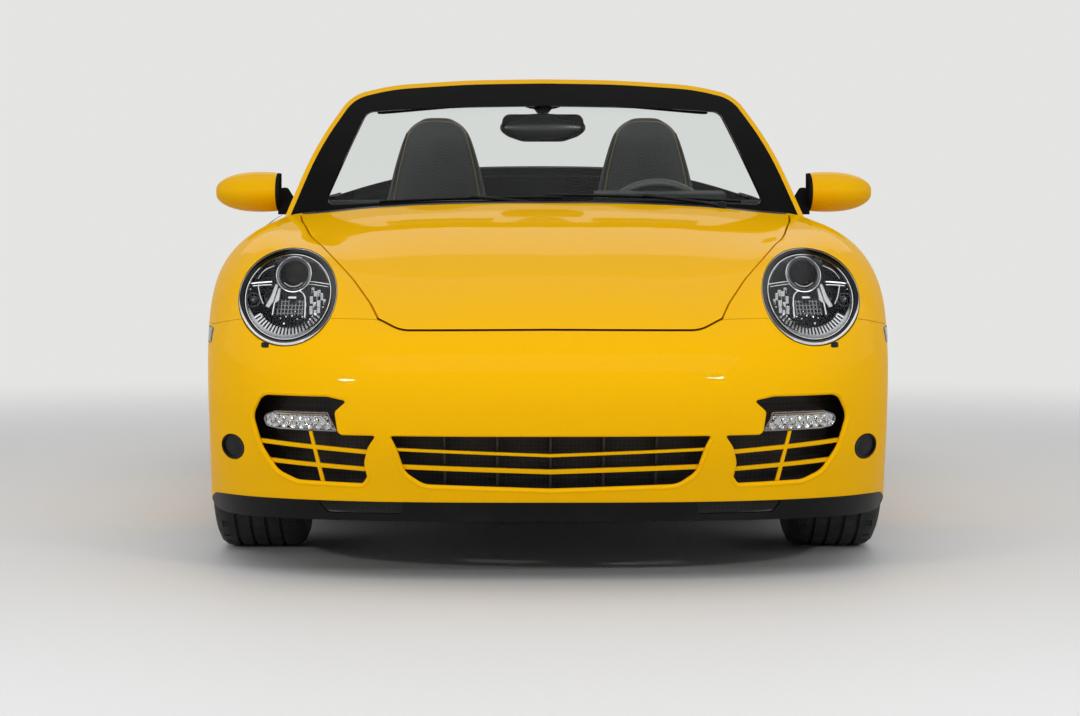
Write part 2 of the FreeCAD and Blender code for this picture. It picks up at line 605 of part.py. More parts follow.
def rear_bumper():
    """The rear bumper with the body's tail panel, and a flat recess for the plate."""
    skin = without(sheet(SKIN, 21, ROWS - 1).common(rear_bumper_region()), REAR_ARCHES)
    skin = without(skin, seen_from_above(grown(ENGINE_LID, PANEL_GAP), 300, 1400))
    skin = without(skin, both(seen_from_front(EXHAUST_CUT, 3900, 4700)))
    plate_back = box(-285, 285, PLATE_STATION - 18, 4500, 415, 560).common(inside_of_body(5.0))
    recess = seen_from_front([(-268, 432, 8), (-268, 548, 8), (268, 548, 8), (268, 432, 8)], PLATE_STATION, 4700)
    return without(skin.fuse([plate_back]), recess)


PLATE_STATION = 4404.0
EXHAUST_X = 565.0
EXHAUST_CUT = [(455, 150), (455, 250, 30), (490, 300, 40), (640, 300, 40), (675, 250, 30), (675, 150)]


def tail_lamp():
    return sheet(60.0, 20, 26, 3, LAST_LINE).common(seen_from_front(TAIL_LAMP, 3600, 4700))


PROJECTOR_Z = HEADLAMP_Z + 52
PROJECTOR_RADIUS = 43.5
LAMP_WALL = 9.0


def headlamp():
    """The left headlamp's bowl behind its ring, with the projector, the reflector below it and two struts."""
    body = headlamp_bore(0.0, HEADLAMP_BACK).common(inside_of_body(0.0))
    shell = without(body, headlamp_bore(-LAMP_WALL, HEADLAMP_BACK - 25))
    x, back = across(HEADLAMP_X), along(HEADLAMP_BACK)
    front = V(x, along(345), PROJECTOR_Z)
    barrel = rod(PROJECTOR_RADIUS, front, V(x, back, PROJECTOR_Z))
    mouth = rod(PROJECTOR_RADIUS - 8, front - V(0, 5, 0), front + V(0, 16, 0))
    lens = Part.makeSphere(PROJECTOR_RADIUS - 6, V(x, front.y + 40, PROJECTOR_Z)).common(
        rod(PROJECTOR_RADIUS - 7, front, V(x, back, PROJECTOR_Z)))
    reflector = seen_from_front([(HEADLAMP_X - 34, PROJECTOR_Z - 46), (HEADLAMP_X + 30, PROJECTOR_Z - 46),
                                 (HEADLAMP_X + 38, PROJECTOR_Z - 106, 12), (HEADLAMP_X - 40, PROJECTOR_Z - 106, 12)],
                                375, HEADLAMP_BACK)
    hollow = seen_from_front([(HEADLAMP_X - 30, PROJECTOR_Z - 52), (HEADLAMP_X + 26, PROJECTOR_Z - 52),
                              (HEADLAMP_X + 33, PROJECTOR_Z - 101, 10), (HEADLAMP_X - 36, PROJECTOR_Z - 101, 10)],
                             370, 400)
    turn_lamp = rod(24, V(x + 70, along(385), HEADLAMP_Z + 12), V(x + 70, back, HEADLAMP_Z + 12))
    bars = box(HEADLAMP_X - 108, HEADLAMP_X + 108, 372, 378, PROJECTOR_Z - 26, PROJECTOR_Z - 21)
    inside = joined(without(barrel, mouth), lens, without(reflector, hollow), turn_lamp, bars).common(
        headlamp_bore(-LAMP_WALL + 2, HEADLAMP_BACK))
    return without(joined(shell, inside), seen_from_above(grown(HOOD, PANEL_GAP), 300, 1300))


def daytime_lamp():
    return sheet(62.0, 1, 5, 3, 8, depth=15.0).common(seen_from_front(DAYTIME_LAMP, -100, 500))


def cowl_panel():
    panel = sheet(12.0, 11, 13, -8, 8).common(seen_from_above(COWL, 300, 1300))
    return panel


# Windscreen: a bent sheet from the cowl to the header rail
SCREEN_BASE = (1400.0, 893.0)
SCREEN_TOP = (2040.0, 1287.0)
SCREEN_SWEEP = (122.0, 60.0)
SCREEN_DROP = (22.0, 36.0)
SCREEN_HALF_WIDTH = 760.0
SCREEN_THICKNESS = 34.0
SCREEN_OUTSIDE = mirrored_outline([
    (0, 1287), (220, 1284, 2500), (460, 1269, 900), (580, 1238, 110), (672, 1079, 900), (754, 830), (0, 830)])
SCREEN_GLASS = mirrored_outline([
    (0, 1200), (220, 1197, 2500), (415, 1190, 900), (530, 1183, 30), (568, 1079, 2000), (630, 902, 20), (400, 912, 2500),
    (0, 918)])


def screen_point(side, height, depth):
    """A point of the windscreen. side runs from -1 to 1, and height from 0 at the cowl to 1 at the rail."""
    lift = SCREEN_TOP[1] - SCREEN_BASE[1]
    run = SCREEN_TOP[0] - SCREEN_BASE[0]
    slope = math.hypot(lift, run)
    bulge = 14.0 * 4 * height * (1 - height) - depth
    sweep = SCREEN_SWEEP[0] + (SCREEN_SWEEP[1] - SCREEN_SWEEP[0]) * height
    drop = SCREEN_DROP[0] + (SCREEN_DROP[1] - SCREEN_DROP[0]) * height
    station = SCREEN_BASE[0] + run * height + sweep * side * side - bulge * lift / slope
    z = SCREEN_BASE[1] + lift * height - drop * side * side + bulge * run / slope
    return V(across(SCREEN_HALF_WIDTH * side - 0.25 * depth * side), along(station), z)


def screen_sheet(outer_depth, inner_depth):
    skins = []
    for depth in (outer_depth, inner_depth):
        grid = [[screen_point(side / 4, height / 6, depth) for height in range(-1, 8)] for side in range(-4, 5)]
        surface = Part.BSplineSurface()
        surface.interpolate(grid)
        skins.append(surface)
    faces = [skin.toShape() for skin in skins]
    bounds = skins[0].bounds()
    for iso, ends in (("uIso", bounds[0:2]), ("vIso", bounds[2:4])):
        for place in ends:
            edges = [getattr(skin, iso)(place).toShape() for skin in skins]
            faces.append(Part.makeRuledSurface(edges[0], edges[1]))
    return closed_solid(faces)


FRAME_STRIP = 14.0


def windscreen_ring(outline, hole):
    """The part of the windscreen's sheet above the body that lies between two outlines."""
    above_body = screen_sheet(0.0, SCREEN_THICKNESS).cut(inside_of_body(-SEAT_CLEARANCE))
    return without(above_body, seen_from_front(hole, 1200, 2400)).common(seen_from_front(outline, 1200, 2400))


def windscreen_frame():
    """The narrow painted strip along the windscreen's outer edge."""
    return windscreen_ring(SCREEN_OUTSIDE, grown(SCREEN_OUTSIDE, -FRAME_STRIP))


def windscreen_trim():
    """The black band between that strip and the glass, with the interior mirror hung from it."""
    band = windscreen_ring(grown(SCREEN_OUTSIDE, -FRAME_STRIP - SEAT_CLEARANCE), grown(SCREEN_GLASS, SEAT_CLEARANCE))
    mirror = seen_from_front([(-128, 1122, 34), (-122, 1182, 24), (122, 1182, 24), (128, 1122, 34), (62, 1099, 60),
                              (-62, 1099, 60)], 2068, 2102)
    stalk = rod(11, screen_point(0, 0.975, SCREEN_THICKNESS / 2), screen_point(0, 0.975, 128))
    return joined(band, mirror, stalk)


def windscreen_glass():
    return screen_sheet(6.0, 11.0).common(seen_from_front(SCREEN_GLASS, 1200, 2400))


# Structure under the skin

CORE_DEPTH = SKIN + SEAT_CLEARANCE
CORE = inside_of_body(CORE_DEPTH)
FLOOR_BOTTOM = 140.0
FLOOR_TOP = 178.0
FRONT_WELL_RADIUS = 396.0
REAR_WELL_RADIUS = 381.0
WELL_THICKNESS = 10.0
TUB_HALF_WIDTH = 458.0


def well(axle_y, axle_z, radius, x_low):
    """A half-round liner over one wheel."""
    outer = arch(axle_y, radius + WELL_THICKNESS, axle_z, x_low, 1000)
    inner = arch(axle_y, radius, axle_z, x_low - 10, 1100)
    below = Part.makeBox(800, 1200, 600, V(x_low - 20, axle_y - 600, axle_z - 600))
    return without(outer, inner, below)


def floor_pan():
    pan = box(-850, 850, 1340, 2860, FLOOR_BOTTOM, FLOOR_TOP)
    tunnel = box(-95, 95, 1385, 2860, FLOOR_TOP, 300)
    sills = both(box(700, 900, 1388, 2850, FLOOR_TOP, SILL_TOP))
    return joined(pan, tunnel, *sills).common(CORE)


def front_bulkhead():
    wall = box(-700, 700, 1350, 1380, FLOOR_TOP + SEAT_CLEARANCE, 820)
    posts = both(box(700, 900, 1350, 1388 - SEAT_CLEARANCE, FLOOR_TOP + SEAT_CLEARANCE, 980))
    feet = both(box(640, 900, 1388 - SEAT_CLEARANCE, 1540, SILL_TOP + SEAT_CLEARANCE, 980))
    return without(joined(wall, *(posts + feet)).common(CORE), FRONT_WELLS)


FRONT_WELLS = both(arch(FRONT_AXLE_Y, FRONT_WELL_RADIUS + WELL_THICKNESS + SEAT_CLEARANCE, FRONT_TYRE_RADIUS))


def front_trunk_tub():
    """The luggage tub between the front wheels, with the liners over them."""
    outside = box(-TUB_HALF_WIDTH, TUB_HALF_WIDTH, 340, 1350 - SEAT_CLEARANCE, 240, 1000)
    hollow = box(-TUB_HALF_WIDTH + 12, TUB_HALF_WIDTH - 12, 352, 1326, 262, 1100)
    liners = both(well(FRONT_AXLE_Y, FRONT_TYRE_RADIUS, FRONT_WELL_RADIUS, TUB_HALF_WIDTH - 6))
    return joined(without(outside, hollow), *liners).common(CORE)


def rear_bulkhead():
    """The wall behind the cabin, the roof's box, the rails beside the engine and the rear wheel liners."""
    wall = box(-740, 740, 2862, 2895, FLOOR_TOP + SEAT_CLEARANCE, 1100)
    shelf = box(-700, 700, 2895, 3412, 732, 748)
    beam = box(-600, 600, 3384, 3412, 748, 1100)
    rails = both(box(500, 560, 2895, 4500, 400, 470))
    liners = both(well(REAR_AXLE_Y, REAR_TYRE_RADIUS, REAR_WELL_RADIUS, 585))
    ties = both(box(548, 600, 3250, 3320, 470, 745))
    ducts = both(box(736, 812, 2786, 2912, 415, 655))
    return joined(wall, shelf, beam, *(rails + liners + ties + ducts)).common(CORE)


def engine():
    """A plain block with a silencer and a pair of tailpipes on each side."""
    block = box(-330, 330, 3470, 4130, 232, 640)
    box_under = box(-480, 480, 4130, 4300, 250, 380)
    pipes = []
    for x in (EXHAUST_X - 48, EXHAUST_X + 48):
        start = V(across(x), along(4240), 258)
        end = V(across(x), along(4330), 258)
        pipes.append(without(rod(36, start, end), rod(31, start + V(0, 30, 0), end + V(0, 5, 0))))
    boxes = [box(470, 640, 4150, 4245, 222, 300)]
    return joined(block, box_under, *both(joined(*(pipes + boxes))))


KINGPIN_X = 660.0
HUB_FACE = 45.0


def front_suspension():
    member = box(-440, 440, 815, 1055, 165, 240 - SEAT_CLEARANCE)
    arms = both(joined(box(400, 640, 900, 970, 186, 210),
                       Part.makeCylinder(35, 24, V(KINGPIN_X, FRONT_AXLE_Y, 186))))
    return joined(member, *arms)


def knuckle():
    """The left steered upright, with its spindle and brake caliper."""
    x_wheel = FRONT_TRACK / 2
    upright = Part.makeBox(46, 90, 190, V(KINGPIN_X - 15, FRONT_AXLE_Y - 45, 210 + SEAT_CLEARANCE))
    spindle = rod(42, V(KINGPIN_X, FRONT_AXLE_Y, FRONT_TYRE_RADIUS),
                  V(x_wheel - HUB_FACE - SEAT_CLEARANCE, FRONT_AXLE_Y, FRONT_TYRE_RADIUS))
    return joined(upright, spindle, caliper(x_wheel, FRONT_AXLE_Y, FRONT_TYRE_RADIUS))


DISC_RADIUS = 172.0
DISC_THICKNESS = 30.0


def caliper(x_wheel, axle_y, axle_z):
    """A block that bridges the disc behind the axle, with a bracket back to the upright."""
    disc_middle = x_wheel - HUB_FACE + DISC_THICKNESS / 2
    block = Part.makeBox(76, 95, 170, V(disc_middle - 38, axle_y + 105, axle_z - 85))
    slot = rod(DISC_RADIUS + 6, V(disc_middle - DISC_THICKNESS / 2 - 4, axle_y, axle_z),
               V(disc_middle + DISC_THICKNESS / 2 + 4, axle_y, axle_z))
    limit = rod(206, V(disc_middle - 60, axle_y, axle_z), V(disc_middle + 60, axle_y, axle_z))
    bracket = Part.makeBox(20, 110, 60, V(disc_middle - 38, axle_y + 20, axle_z - 30))
    return joined(without(block, slot).common(limit), bracket)


def rear_suspension():
    member = box(-560, 560, 3180, 3470 - SEAT_CLEARANCE, 232, 330)
    towers = both(box(500, 560, 3190, 3380, 330, 400 - SEAT_CLEARANCE))
    x_wheel = REAR_TRACK / 2
    disc_inner = x_wheel - HUB_FACE
    upright = Part.makeBox(40, 110, 210, V(disc_inner - 60, REAR_AXLE_Y - 55, REAR_TYRE_RADIUS - 105))
    spindle = rod(45, V(disc_inner - 40, REAR_AXLE_Y, REAR_TYRE_RADIUS),
                  V(disc_inner - SEAT_CLEARANCE, REAR_AXLE_Y, REAR_TYRE_RADIUS))
    arm = Part.makeBox(disc_inner - 60 - 540, 70, 50, V(545, REAR_AXLE_Y - 35, 245))
    hub = joined(upright, spindle, arm, caliper(x_wheel, REAR_AXLE_Y, REAR_TYRE_RADIUS))
    return joined(member, *(towers + both(hub)))


GROOVES = 4
GROOVE_WIDTH = 8.0
GROOVE_DEPTH = 7.0
TREAD_MARGIN = 40.0


def tyre(x_wheel, axle_y, radius, width):
    """A tyre with round shoulders and grooves round its tread, on the wheel's own axis along X."""
    half = width / 2
    bead = half - 12
    side = (half + 2, RIM_RADIUS + 0.45 * (radius - RIM_RADIUS), 45)
    shoulder = (half - 8, radius, 30)
    outline = [(-bead, RIM_RADIUS), (-side[0],) + side[1:], (-shoulder[0],) + shoulder[1:]]
    pitch = (width - 2 * TREAD_MARGIN) / GROOVES
    for i in range(GROOVES):
        low = -half + TREAD_MARGIN + pitch * (i + 0.5) - GROOVE_WIDTH / 2
        outline += [(low, radius), (low, radius - GROOVE_DEPTH), (low + GROOVE_WIDTH, radius - GROOVE_DEPTH),
                    (low + GROOVE_WIDTH, radius)]
    outline += [shoulder, side, (bead, RIM_RADIUS)]
    face = Part.Face(wire(outline, lambda a, r: V(x_wheel + a, 0, r)))
    ring = face.revolve(V(0, 0, 0), V(1, 0, 0), 360)
    ring.translate(V(0, axle_y, radius))
    return ring


SPOKES = 10
BOLTS = 5
BOLT_CIRCLE = 55.0


def rim(x_wheel, axle_y, radius, width):
    """The rim with ten waisted spokes, its bolts and cap, and the brake disc that turns with it."""
    half = width / 2 - 12
    outer = x_wheel + half
    barrel = without(rod(RIM_RADIUS, V(x_wheel - half, 0, 0), V(outer, 0, 0)),
                     rod(RIM_RADIUS - 14, V(x_wheel - half - 5, 0, 0), V(outer + 5, 0, 0)))
    face = outer - 8
    waisted = [(-17, 35), (-11, 130), (-20, RIM_RADIUS - 8), (20, RIM_RADIUS - 8), (11, 130), (17, 35)]
    spokes = []
    for i in range(SPOKES):
        spoke = prism(waisted, lambda a, r: V(face - 28, a, r), V(28, 0, 0))
        spoke.rotate(V(0, 0, 0), V(1, 0, 0), i * 360.0 / SPOKES)
        spokes.append(spoke)
    disc_inner = x_wheel - HUB_FACE
    disc_outer = disc_inner + DISC_THICKNESS
    disc = rod(DISC_RADIUS, V(disc_inner, 0, 0), V(disc_outer, 0, 0))
    hat = rod(92, V(disc_outer, 0, 0), V(disc_outer + 14, 0, 0))
    hub = rod(74, V(disc_outer, 0, 0), V(face - 6, 0, 0))
    cap = rod(31, V(disc_outer, 0, 0), V(face + 4, 0, 0))
    bolts = []
    for i in range(BOLTS):
        angle = math.tau * i / BOLTS
        start = V(face - 10, BOLT_CIRCLE * math.sin(angle), BOLT_CIRCLE * math.cos(angle))
        bolts.append(rod(9, start, start + V(12, 0, 0)))
    shape = joined(barrel, disc, hat, hub, cap, *(spokes + bolts))
    shape.translate(V(0, axle_y, radius))
    return shape


# Cabin

SEAT_X = 338.0
SEAT_HALF_WIDTH = 235.0
SEAT_BOLSTER = 62.0
STEERING_X = 338.0
STEERING_CENTRE = (1895.0, 815.0)
STEERING_TILT = 24.0
STEERING_RADIUS = 182.0


def seat():
    """The left front seat: cushion, shell and a backrest that runs up into its headrest."""
    low, high = SEAT_X - SEAT_HALF_WIDTH, SEAT_X + SEAT_HALF_WIDTH
    cushion = seen_from_side([(1950, 250, 40), (1940, 400, 70), (2420, 330, 30), (2500, 300, 30), (2500, 220, 20),
                              (2000, 220, 20)], low, high)
    back = seen_from_front([(low, 250), (low, 700, 260), (SEAT_X - 165, 1010, 160), (SEAT_X - 150, 1192, 70),
                            (SEAT_X + 150, 1192, 70), (SEAT_X + 165, 1010, 160), (high, 700, 260), (high, 250)],
                           2200, 2760)
    lean = seen_from_side([(2390, 250, 30), (2545, 1020, 300), (2570, 1250), (2660, 1250), (2650, 1000, 300),
                           (2530, 250, 30)], SEAT_X - 300, SEAT_X + 300)
    base = box(SEAT_X - 190, SEAT_X + 190, 2020, 2450, FLOOR_TOP + SEAT_CLEARANCE, 225)
    bolsters = []
    for inner, outer in ((low, low + SEAT_BOLSTER), (high - SEAT_BOLSTER, high)):
        bolsters.append(seen_from_side([(1990, 300, 40), (1985, 432, 50), (2380, 408, 60), (2460, 300, 20)],
                                       inner, outer))
        wing = seen_from_side([(2385, 400, 40), (2452, 700, 400), (2505, 905, 60), (2600, 905), (2600, 400)],
                              inner, outer)
        bolsters.append(wing.common(back))
    return joined(cushion, back.common(lean), base, *bolsters)


def rear_seats():
    shapes = []
    for side in (-1, 1):
        low, high = sorted((side * 130, side * 560))
        shapes.append(seen_from_side([(2675, 300, 30), (2665, 420, 40), (2790, 400, 60), (2826, 880, 40),
                                      (2861.7, 880, 10), (2861.7, 300)], low, high))
    shelf = box(-560, 560, 2690, 2861.7, 302, 330)
    return joined(*(shapes + [shelf]))


def dashboard():
    """The dashboard, its instrument hood and the console between the seats."""
    board = seen_from_side([(1380.3, 640), (1380.3, 800, 20), (1520, 862, 60), (1660, 918, 60), (1790, 915, 40),
                            (1835, 850, 40), (1800, 690, 60), (1700, 610, 60), (1500, 600)], -636, 636)
    hood_over_dials = seen_from_side([(1640, 880), (1655, 935, 30), (1800, 948, 20), (1825, 880)],
                                     STEERING_X - 190, STEERING_X + 190)
    console = seen_from_side([(1380.3, 301), (1380.3, 640), (1780, 640, 60), (1900, 480, 80), (2560, 440, 40),
                              (2560, 301)], -100, 100)
    dials = []
    for x, radius in ((0, 52), (-92, 44), (92, 44)):
        dial_x = across(STEERING_X + x)
        dials.append(rod(radius, V(dial_x, along(1780), 878), V(dial_x, along(1828), 871)))
    vents = [box(x - 62, x + 62, 1790, 1829, 770, 815) for x in (-70, 70, -540, 540)]
    screen = box(-84, 84, 1760, 1806, 690, 755)
    column_start = steering_place(-10.3)
    column_end = steering_place(-170)
    return joined(board, hood_over_dials, console, rod(32, column_start, column_end), screen, *(dials + vents))


def steering_place(out):
    """A point on the steering column's line, out from the wheel's middle towards the driver."""
    tilt = math.radians(STEERING_TILT)
    return V(across(STEERING_X), along(STEERING_CENTRE[0]) + out * math.cos(tilt),
             STEERING_CENTRE[1] + out * math.sin(tilt))


STEERING_GRIP = 15.0


def steering_wheel():
    """The wheel with three spokes and the padded middle, turning about its column."""
    rim_ring = Part.makeTorus(STEERING_RADIUS - STEERING_GRIP, STEERING_GRIP, V(0, 0, 0), V(0, 1, 0))
    hub = rod(62, V(0, -10, 0), V(0, 30, 0))
    pad = prism([(-78, 44, 30), (78, 44, 30), (58, -62, 30), (-58, -62, 30)], lambda x, z: V(x, 4, z), V(0, 36, 0))
    reach = STEERING_RADIUS - STEERING_GRIP
    upper = prism([(-reach, 22), (-60, 34, 20), (60, 34, 20), (reach, 22), (reach, -10), (60, -26, 20), (-60, -26, 20),
                   (-reach, -10)], lambda x, z: V(x, -2, z), V(0, 15, 0))
    lower = prism([(-30, -40), (30, -40), (22, -reach), (-22, -reach)], lambda x, z: V(x, -2, z), V(0, 15, 0))
    shape = joined(rim_ring, hub, pad, upper, lower)
    shape.rotate(V(0, 0, 0), V(1, 0, 0), STEERING_TILT)
    shape.translate(steering_place(0))
    return shape


def roof_lid():
    return sheet(LID_THICKNESS, 15, 20, -7, 7).common(seen_from_above(ROOF_LID, 600, 1300))


SPOILER = mirrored_outline([
    (0, 3905), (430, 3900, 200), (478, 3925, 40), (458, 4000, 60), (300, 4068, 400), (0, 4094)])


VENT_COUNT = 8
VENT_START = 3560.0
VENT_PITCH = 30.0
VENT_WIDTH = 14.0
VENT_HALF_WIDTH = 250.0


def engine_lid():
    """The lid over the engine and the spoiler that it carries."""
    lid = sheet(LID_THICKNESS, 17, 23, -7, 7).common(seen_from_above(ENGINE_LID, 600, 1300))
    profile = seen_from_side([(3890, 700), (3890, 862), (3960, 886, 60), (4070, 884, 30), (4110, 868, 10),
                              (4110, 700)], -600, 600)
    blade = profile.common(seen_from_above(SPOILER, 600, 1000))
    slots = []
    for i in range(VENT_COUNT):
        station = VENT_START + i * VENT_PITCH
        slots.append(seen_from_above([(-VENT_HALF_WIDTH, station, 5), (VENT_HALF_WIDTH, station, 5),
                                      (VENT_HALF_WIDTH, station + VENT_WIDTH, 5),
                                      (-VENT_HALF_WIDTH, station + VENT_WIDTH, 5)], 700, 1300))
    return joined(without(lid, slots), without(blade, inside_of_body(8.0)))


def wheel_set():
    front = (FRONT_TRACK / 2, FRONT_AXLE_Y, FRONT_TYRE_RADIUS, FRONT_TYRE_WIDTH)
    rear = (REAR_TRACK / 2, REAR_AXLE_Y, REAR_TYRE_RADIUS, REAR_TYRE_WIDTH)
    for end, sizes in (("front", front), ("rear", rear)):
        for name, make in (("tyre", tyre), ("rim", rim)):
            shape = make(*sizes)
            sub_part("%s_%s_left" % (name, end), shape)
            sub_part("%s_%s_right" % (name, end), mirrored(shape))


def pair(name, shape):
    sub_part(name + "_left", shape)
    sub_part(name + "_right", mirrored(shape))


def build():
    sub_part("front_bumper", front_bumper())
    sub_part("front_lip", front_lip())
    sub_part("front_grilles", front_grilles())
    pair("front_fender", fender())
    pair("headlamp", headlamp())
    pair("daytime_lamp", daytime_lamp())
    pair("rear_quarter", quarter())
    sub_part("rear_bumper", rear_bumper())
    pair("tail_lamp", tail_lamp())
    sub_part("hood", hood())
    sub_part("cowl_panel", cowl_panel())
    sub_part("windscreen_frame", windscreen_frame())
    sub_part("windscreen_trim", windscreen_trim())
    sub_part("windscreen_glass", windscreen_glass())
    pair("door", door())
    sub_part("roof_lid", roof_lid())
    sub_part("engine_lid", engine_lid())
    sub_part("floor_pan", floor_pan())
    sub_part("front_bulkhead", front_bulkhead())
    sub_part("front_trunk_tub", front_trunk_tub())
    sub_part("rear_bulkhead", rear_bulkhead())
    sub_part("engine", engine())
    sub_part("front_suspension", front_suspension())
    sub_part("rear_suspension", rear_suspension())
    pair("knuckle", knuckle())
    wheel_set()
    pair("front_seat", seat())
    sub_part("rear_seats", rear_seats())
    sub_part("dashboard", dashboard())
    sub_part("steering_wheel", steering_wheel())
    os.makedirs("parts", exist_ok=True)
    for name, shape in PARTS.items():
        shape.exportStep("parts/%s.step" % name)


if __name__ == "__main__":
    build()
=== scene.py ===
"""The looks of the yellow open sports car, built round its CAD frame."""

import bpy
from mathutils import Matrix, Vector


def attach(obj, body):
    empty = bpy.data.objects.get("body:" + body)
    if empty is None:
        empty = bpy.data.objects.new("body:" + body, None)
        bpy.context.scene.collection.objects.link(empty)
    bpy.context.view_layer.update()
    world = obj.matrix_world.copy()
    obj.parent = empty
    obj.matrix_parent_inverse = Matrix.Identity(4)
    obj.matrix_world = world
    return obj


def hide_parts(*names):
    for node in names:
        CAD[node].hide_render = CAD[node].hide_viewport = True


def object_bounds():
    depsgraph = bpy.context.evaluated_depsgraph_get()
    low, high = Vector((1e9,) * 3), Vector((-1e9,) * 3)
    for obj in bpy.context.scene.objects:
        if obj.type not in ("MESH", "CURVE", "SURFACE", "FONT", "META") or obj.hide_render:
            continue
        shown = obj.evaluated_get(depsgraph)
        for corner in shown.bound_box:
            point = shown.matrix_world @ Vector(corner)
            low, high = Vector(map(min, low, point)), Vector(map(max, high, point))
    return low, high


bl_info = {
    "name": "Open Sports Car Looks",
    "version": (1, 0, 0),
    "blender": (4, 5, 0),
    "location": "3D View > Sidebar > Car",
    "description": "Paint, lamps, wheels, seats, cabin and studio for an open two-door sports car",
    "category": "Object",
}

import math
from contextlib import contextmanager

import bmesh
import bpy
import numpy as np
from mathutils import Matrix, Vector
from mathutils.bvhtree import BVHTree

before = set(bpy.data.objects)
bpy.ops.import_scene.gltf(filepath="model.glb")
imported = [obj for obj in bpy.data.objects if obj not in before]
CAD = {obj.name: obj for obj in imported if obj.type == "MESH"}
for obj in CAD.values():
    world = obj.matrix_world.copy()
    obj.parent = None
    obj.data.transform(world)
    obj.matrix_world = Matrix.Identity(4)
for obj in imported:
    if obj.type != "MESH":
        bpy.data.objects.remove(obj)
CAD_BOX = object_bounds()

SIDES = ("left", "right")


# Selecting and shaping


def deselect():
    for obj in bpy.context.selected_objects:
        obj.select_set(False)


def activate(obj):
    deselect()
    obj.select_set(True)
    bpy.context.view_layer.objects.active = obj
    return obj


@contextmanager
def editing(obj):
    activate(obj)
    bpy.ops.object.mode_set(mode="EDIT")
    yield
    bpy.ops.object.mode_set(mode="OBJECT")


def pick(obj, test):
    """In edit mode, selects only the faces that test accepts."""
    bpy.ops.mesh.select_mode(type="FACE")
    bpy.ops.mesh.select_all(action="DESELECT")
    mesh = bmesh.from_edit_mesh(obj.data)
    for face in mesh.faces:
        if test(face):
            face.select_set(True)
    bmesh.update_edit_mesh(obj.data)


def apply(obj, kind, **settings):
    activate(obj)
    modifier = obj.modifiers.new(kind.title(), kind)
    for key, value in settings.items():
        setattr(modifier, key, value)
    bpy.ops.object.modifier_apply(modifier=modifier.name)
    return obj


def walled(obj, thickness, offset=-1):
    """Gives a sheet its thickness."""
    return apply(obj, "SOLIDIFY", thickness=thickness, offset=offset)


def subdivided(obj):
    return apply(obj, "SUBSURF", levels=1, render_levels=1)


def settle(obj):
    """Puts the object's place into its mesh."""
    activate(obj)
    bpy.ops.object.transform_apply(location=True, rotation=True, scale=True)
    return obj


def smooth(obj, angle=35):
    activate(obj)
    bpy.ops.object.shade_smooth_by_angle(angle=math.radians(angle))
    return obj


def cleaned(obj):
    """Merges what lies together and turns the faces outwards."""
    with editing(obj):
        bpy.ops.mesh.select_all(action="SELECT")
        bpy.ops.mesh.remove_doubles(threshold=0.00002)
        bpy.ops.mesh.normals_make_consistent(inside=False)
    return obj


def mirrored(obj, name):
    activate(obj)
    bpy.ops.object.duplicate(linked=False)
    copy = bpy.context.object
    copy.name = name
    copy.data.transform(Matrix.Scale(-1, 4, (1, 0, 0)))
    with editing(copy):
        bpy.ops.mesh.select_all(action="SELECT")
        bpy.ops.mesh.flip_normals()
    return copy


def united(name, *objs):
    """Joins finished meshes that ride together into one piece."""
    deselect()
    for obj in objs:
        obj.select_set(True)
    bpy.context.view_layer.objects.active = objs[0]
    bpy.ops.object.join()
    objs[0].name = name
    return objs[0]


def filed(obj, body, finish, replaces=()):
    """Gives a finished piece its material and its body."""
    obj.data.materials.clear()
    obj.data.materials.append(material(finish))
    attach(obj, body)
    if replaces:
        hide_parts(*replaces)
    return obj


def filed_pair(obj, name, body, finish, replaces=()):
    """Files the left piece and its mirror image. In a body or node name, * stands for the side."""
    obj.name = name + "_left"
    pair = (obj, mirrored(obj, name + "_right"))
    for piece, side in zip(pair, SIDES):
        filed(piece, body.replace("*", side), finish, [n.replace("*", side) for n in replaces])
    return pair


# Pieces begun as primitives

AXES = {"X": (0, math.pi / 2, 0), "Y": (-math.pi / 2, 0, 0), "Z": (0, 0, 0), "-Z": (math.pi, 0, 0)}


def turned(name, profile, centre=(0, 0, 0), axis="Y", segments=64):
    """A lathe piece: a circle, extruded ring by ring. profile is (radius, place along the axis) pairs."""
    deselect()
    bpy.ops.mesh.primitive_circle_add(vertices=segments, radius=profile[0][0], location=(0, 0, 0),
                                      enter_editmode=True)
    before = profile[0]
    for radius, place in profile[1:]:
        bpy.ops.mesh.extrude_edges_move(TRANSFORM_OT_translate={"value": (0, 0, place - before[1])})
        if radius <= 0:
            bpy.ops.mesh.merge(type="CENTER")
        else:
            ratio = radius / before[0]
            bpy.ops.transform.resize(value=(ratio, ratio, 1), center_override=(0, 0, 0))
        before = (radius, place)
    bpy.ops.object.mode_set(mode="OBJECT")
    obj = bpy.context.object
    obj.name = name
    obj.data.transform(Matrix.Translation((0, 0, profile[0][1])))
    obj.rotation_euler = AXES[axis]
    obj.location = centre
    settle(obj)
    return cleaned(obj)


def block(name, low, high, bevel=0.0, segments=3):
    """A box between two corners, with rounded edges."""
    deselect()
    bpy.ops.mesh.primitive_cube_add(size=1, location=[(a + b) / 2 for a, b in zip(low, high)])
    obj = bpy.context.object
    obj.name = name
    obj.scale = [abs(b - a) for a, b in zip(low, high)]
    settle(obj)
    if bevel:
        apply(obj, "BEVEL", width=bevel, segments=segments, limit_method="ANGLE")
    return obj


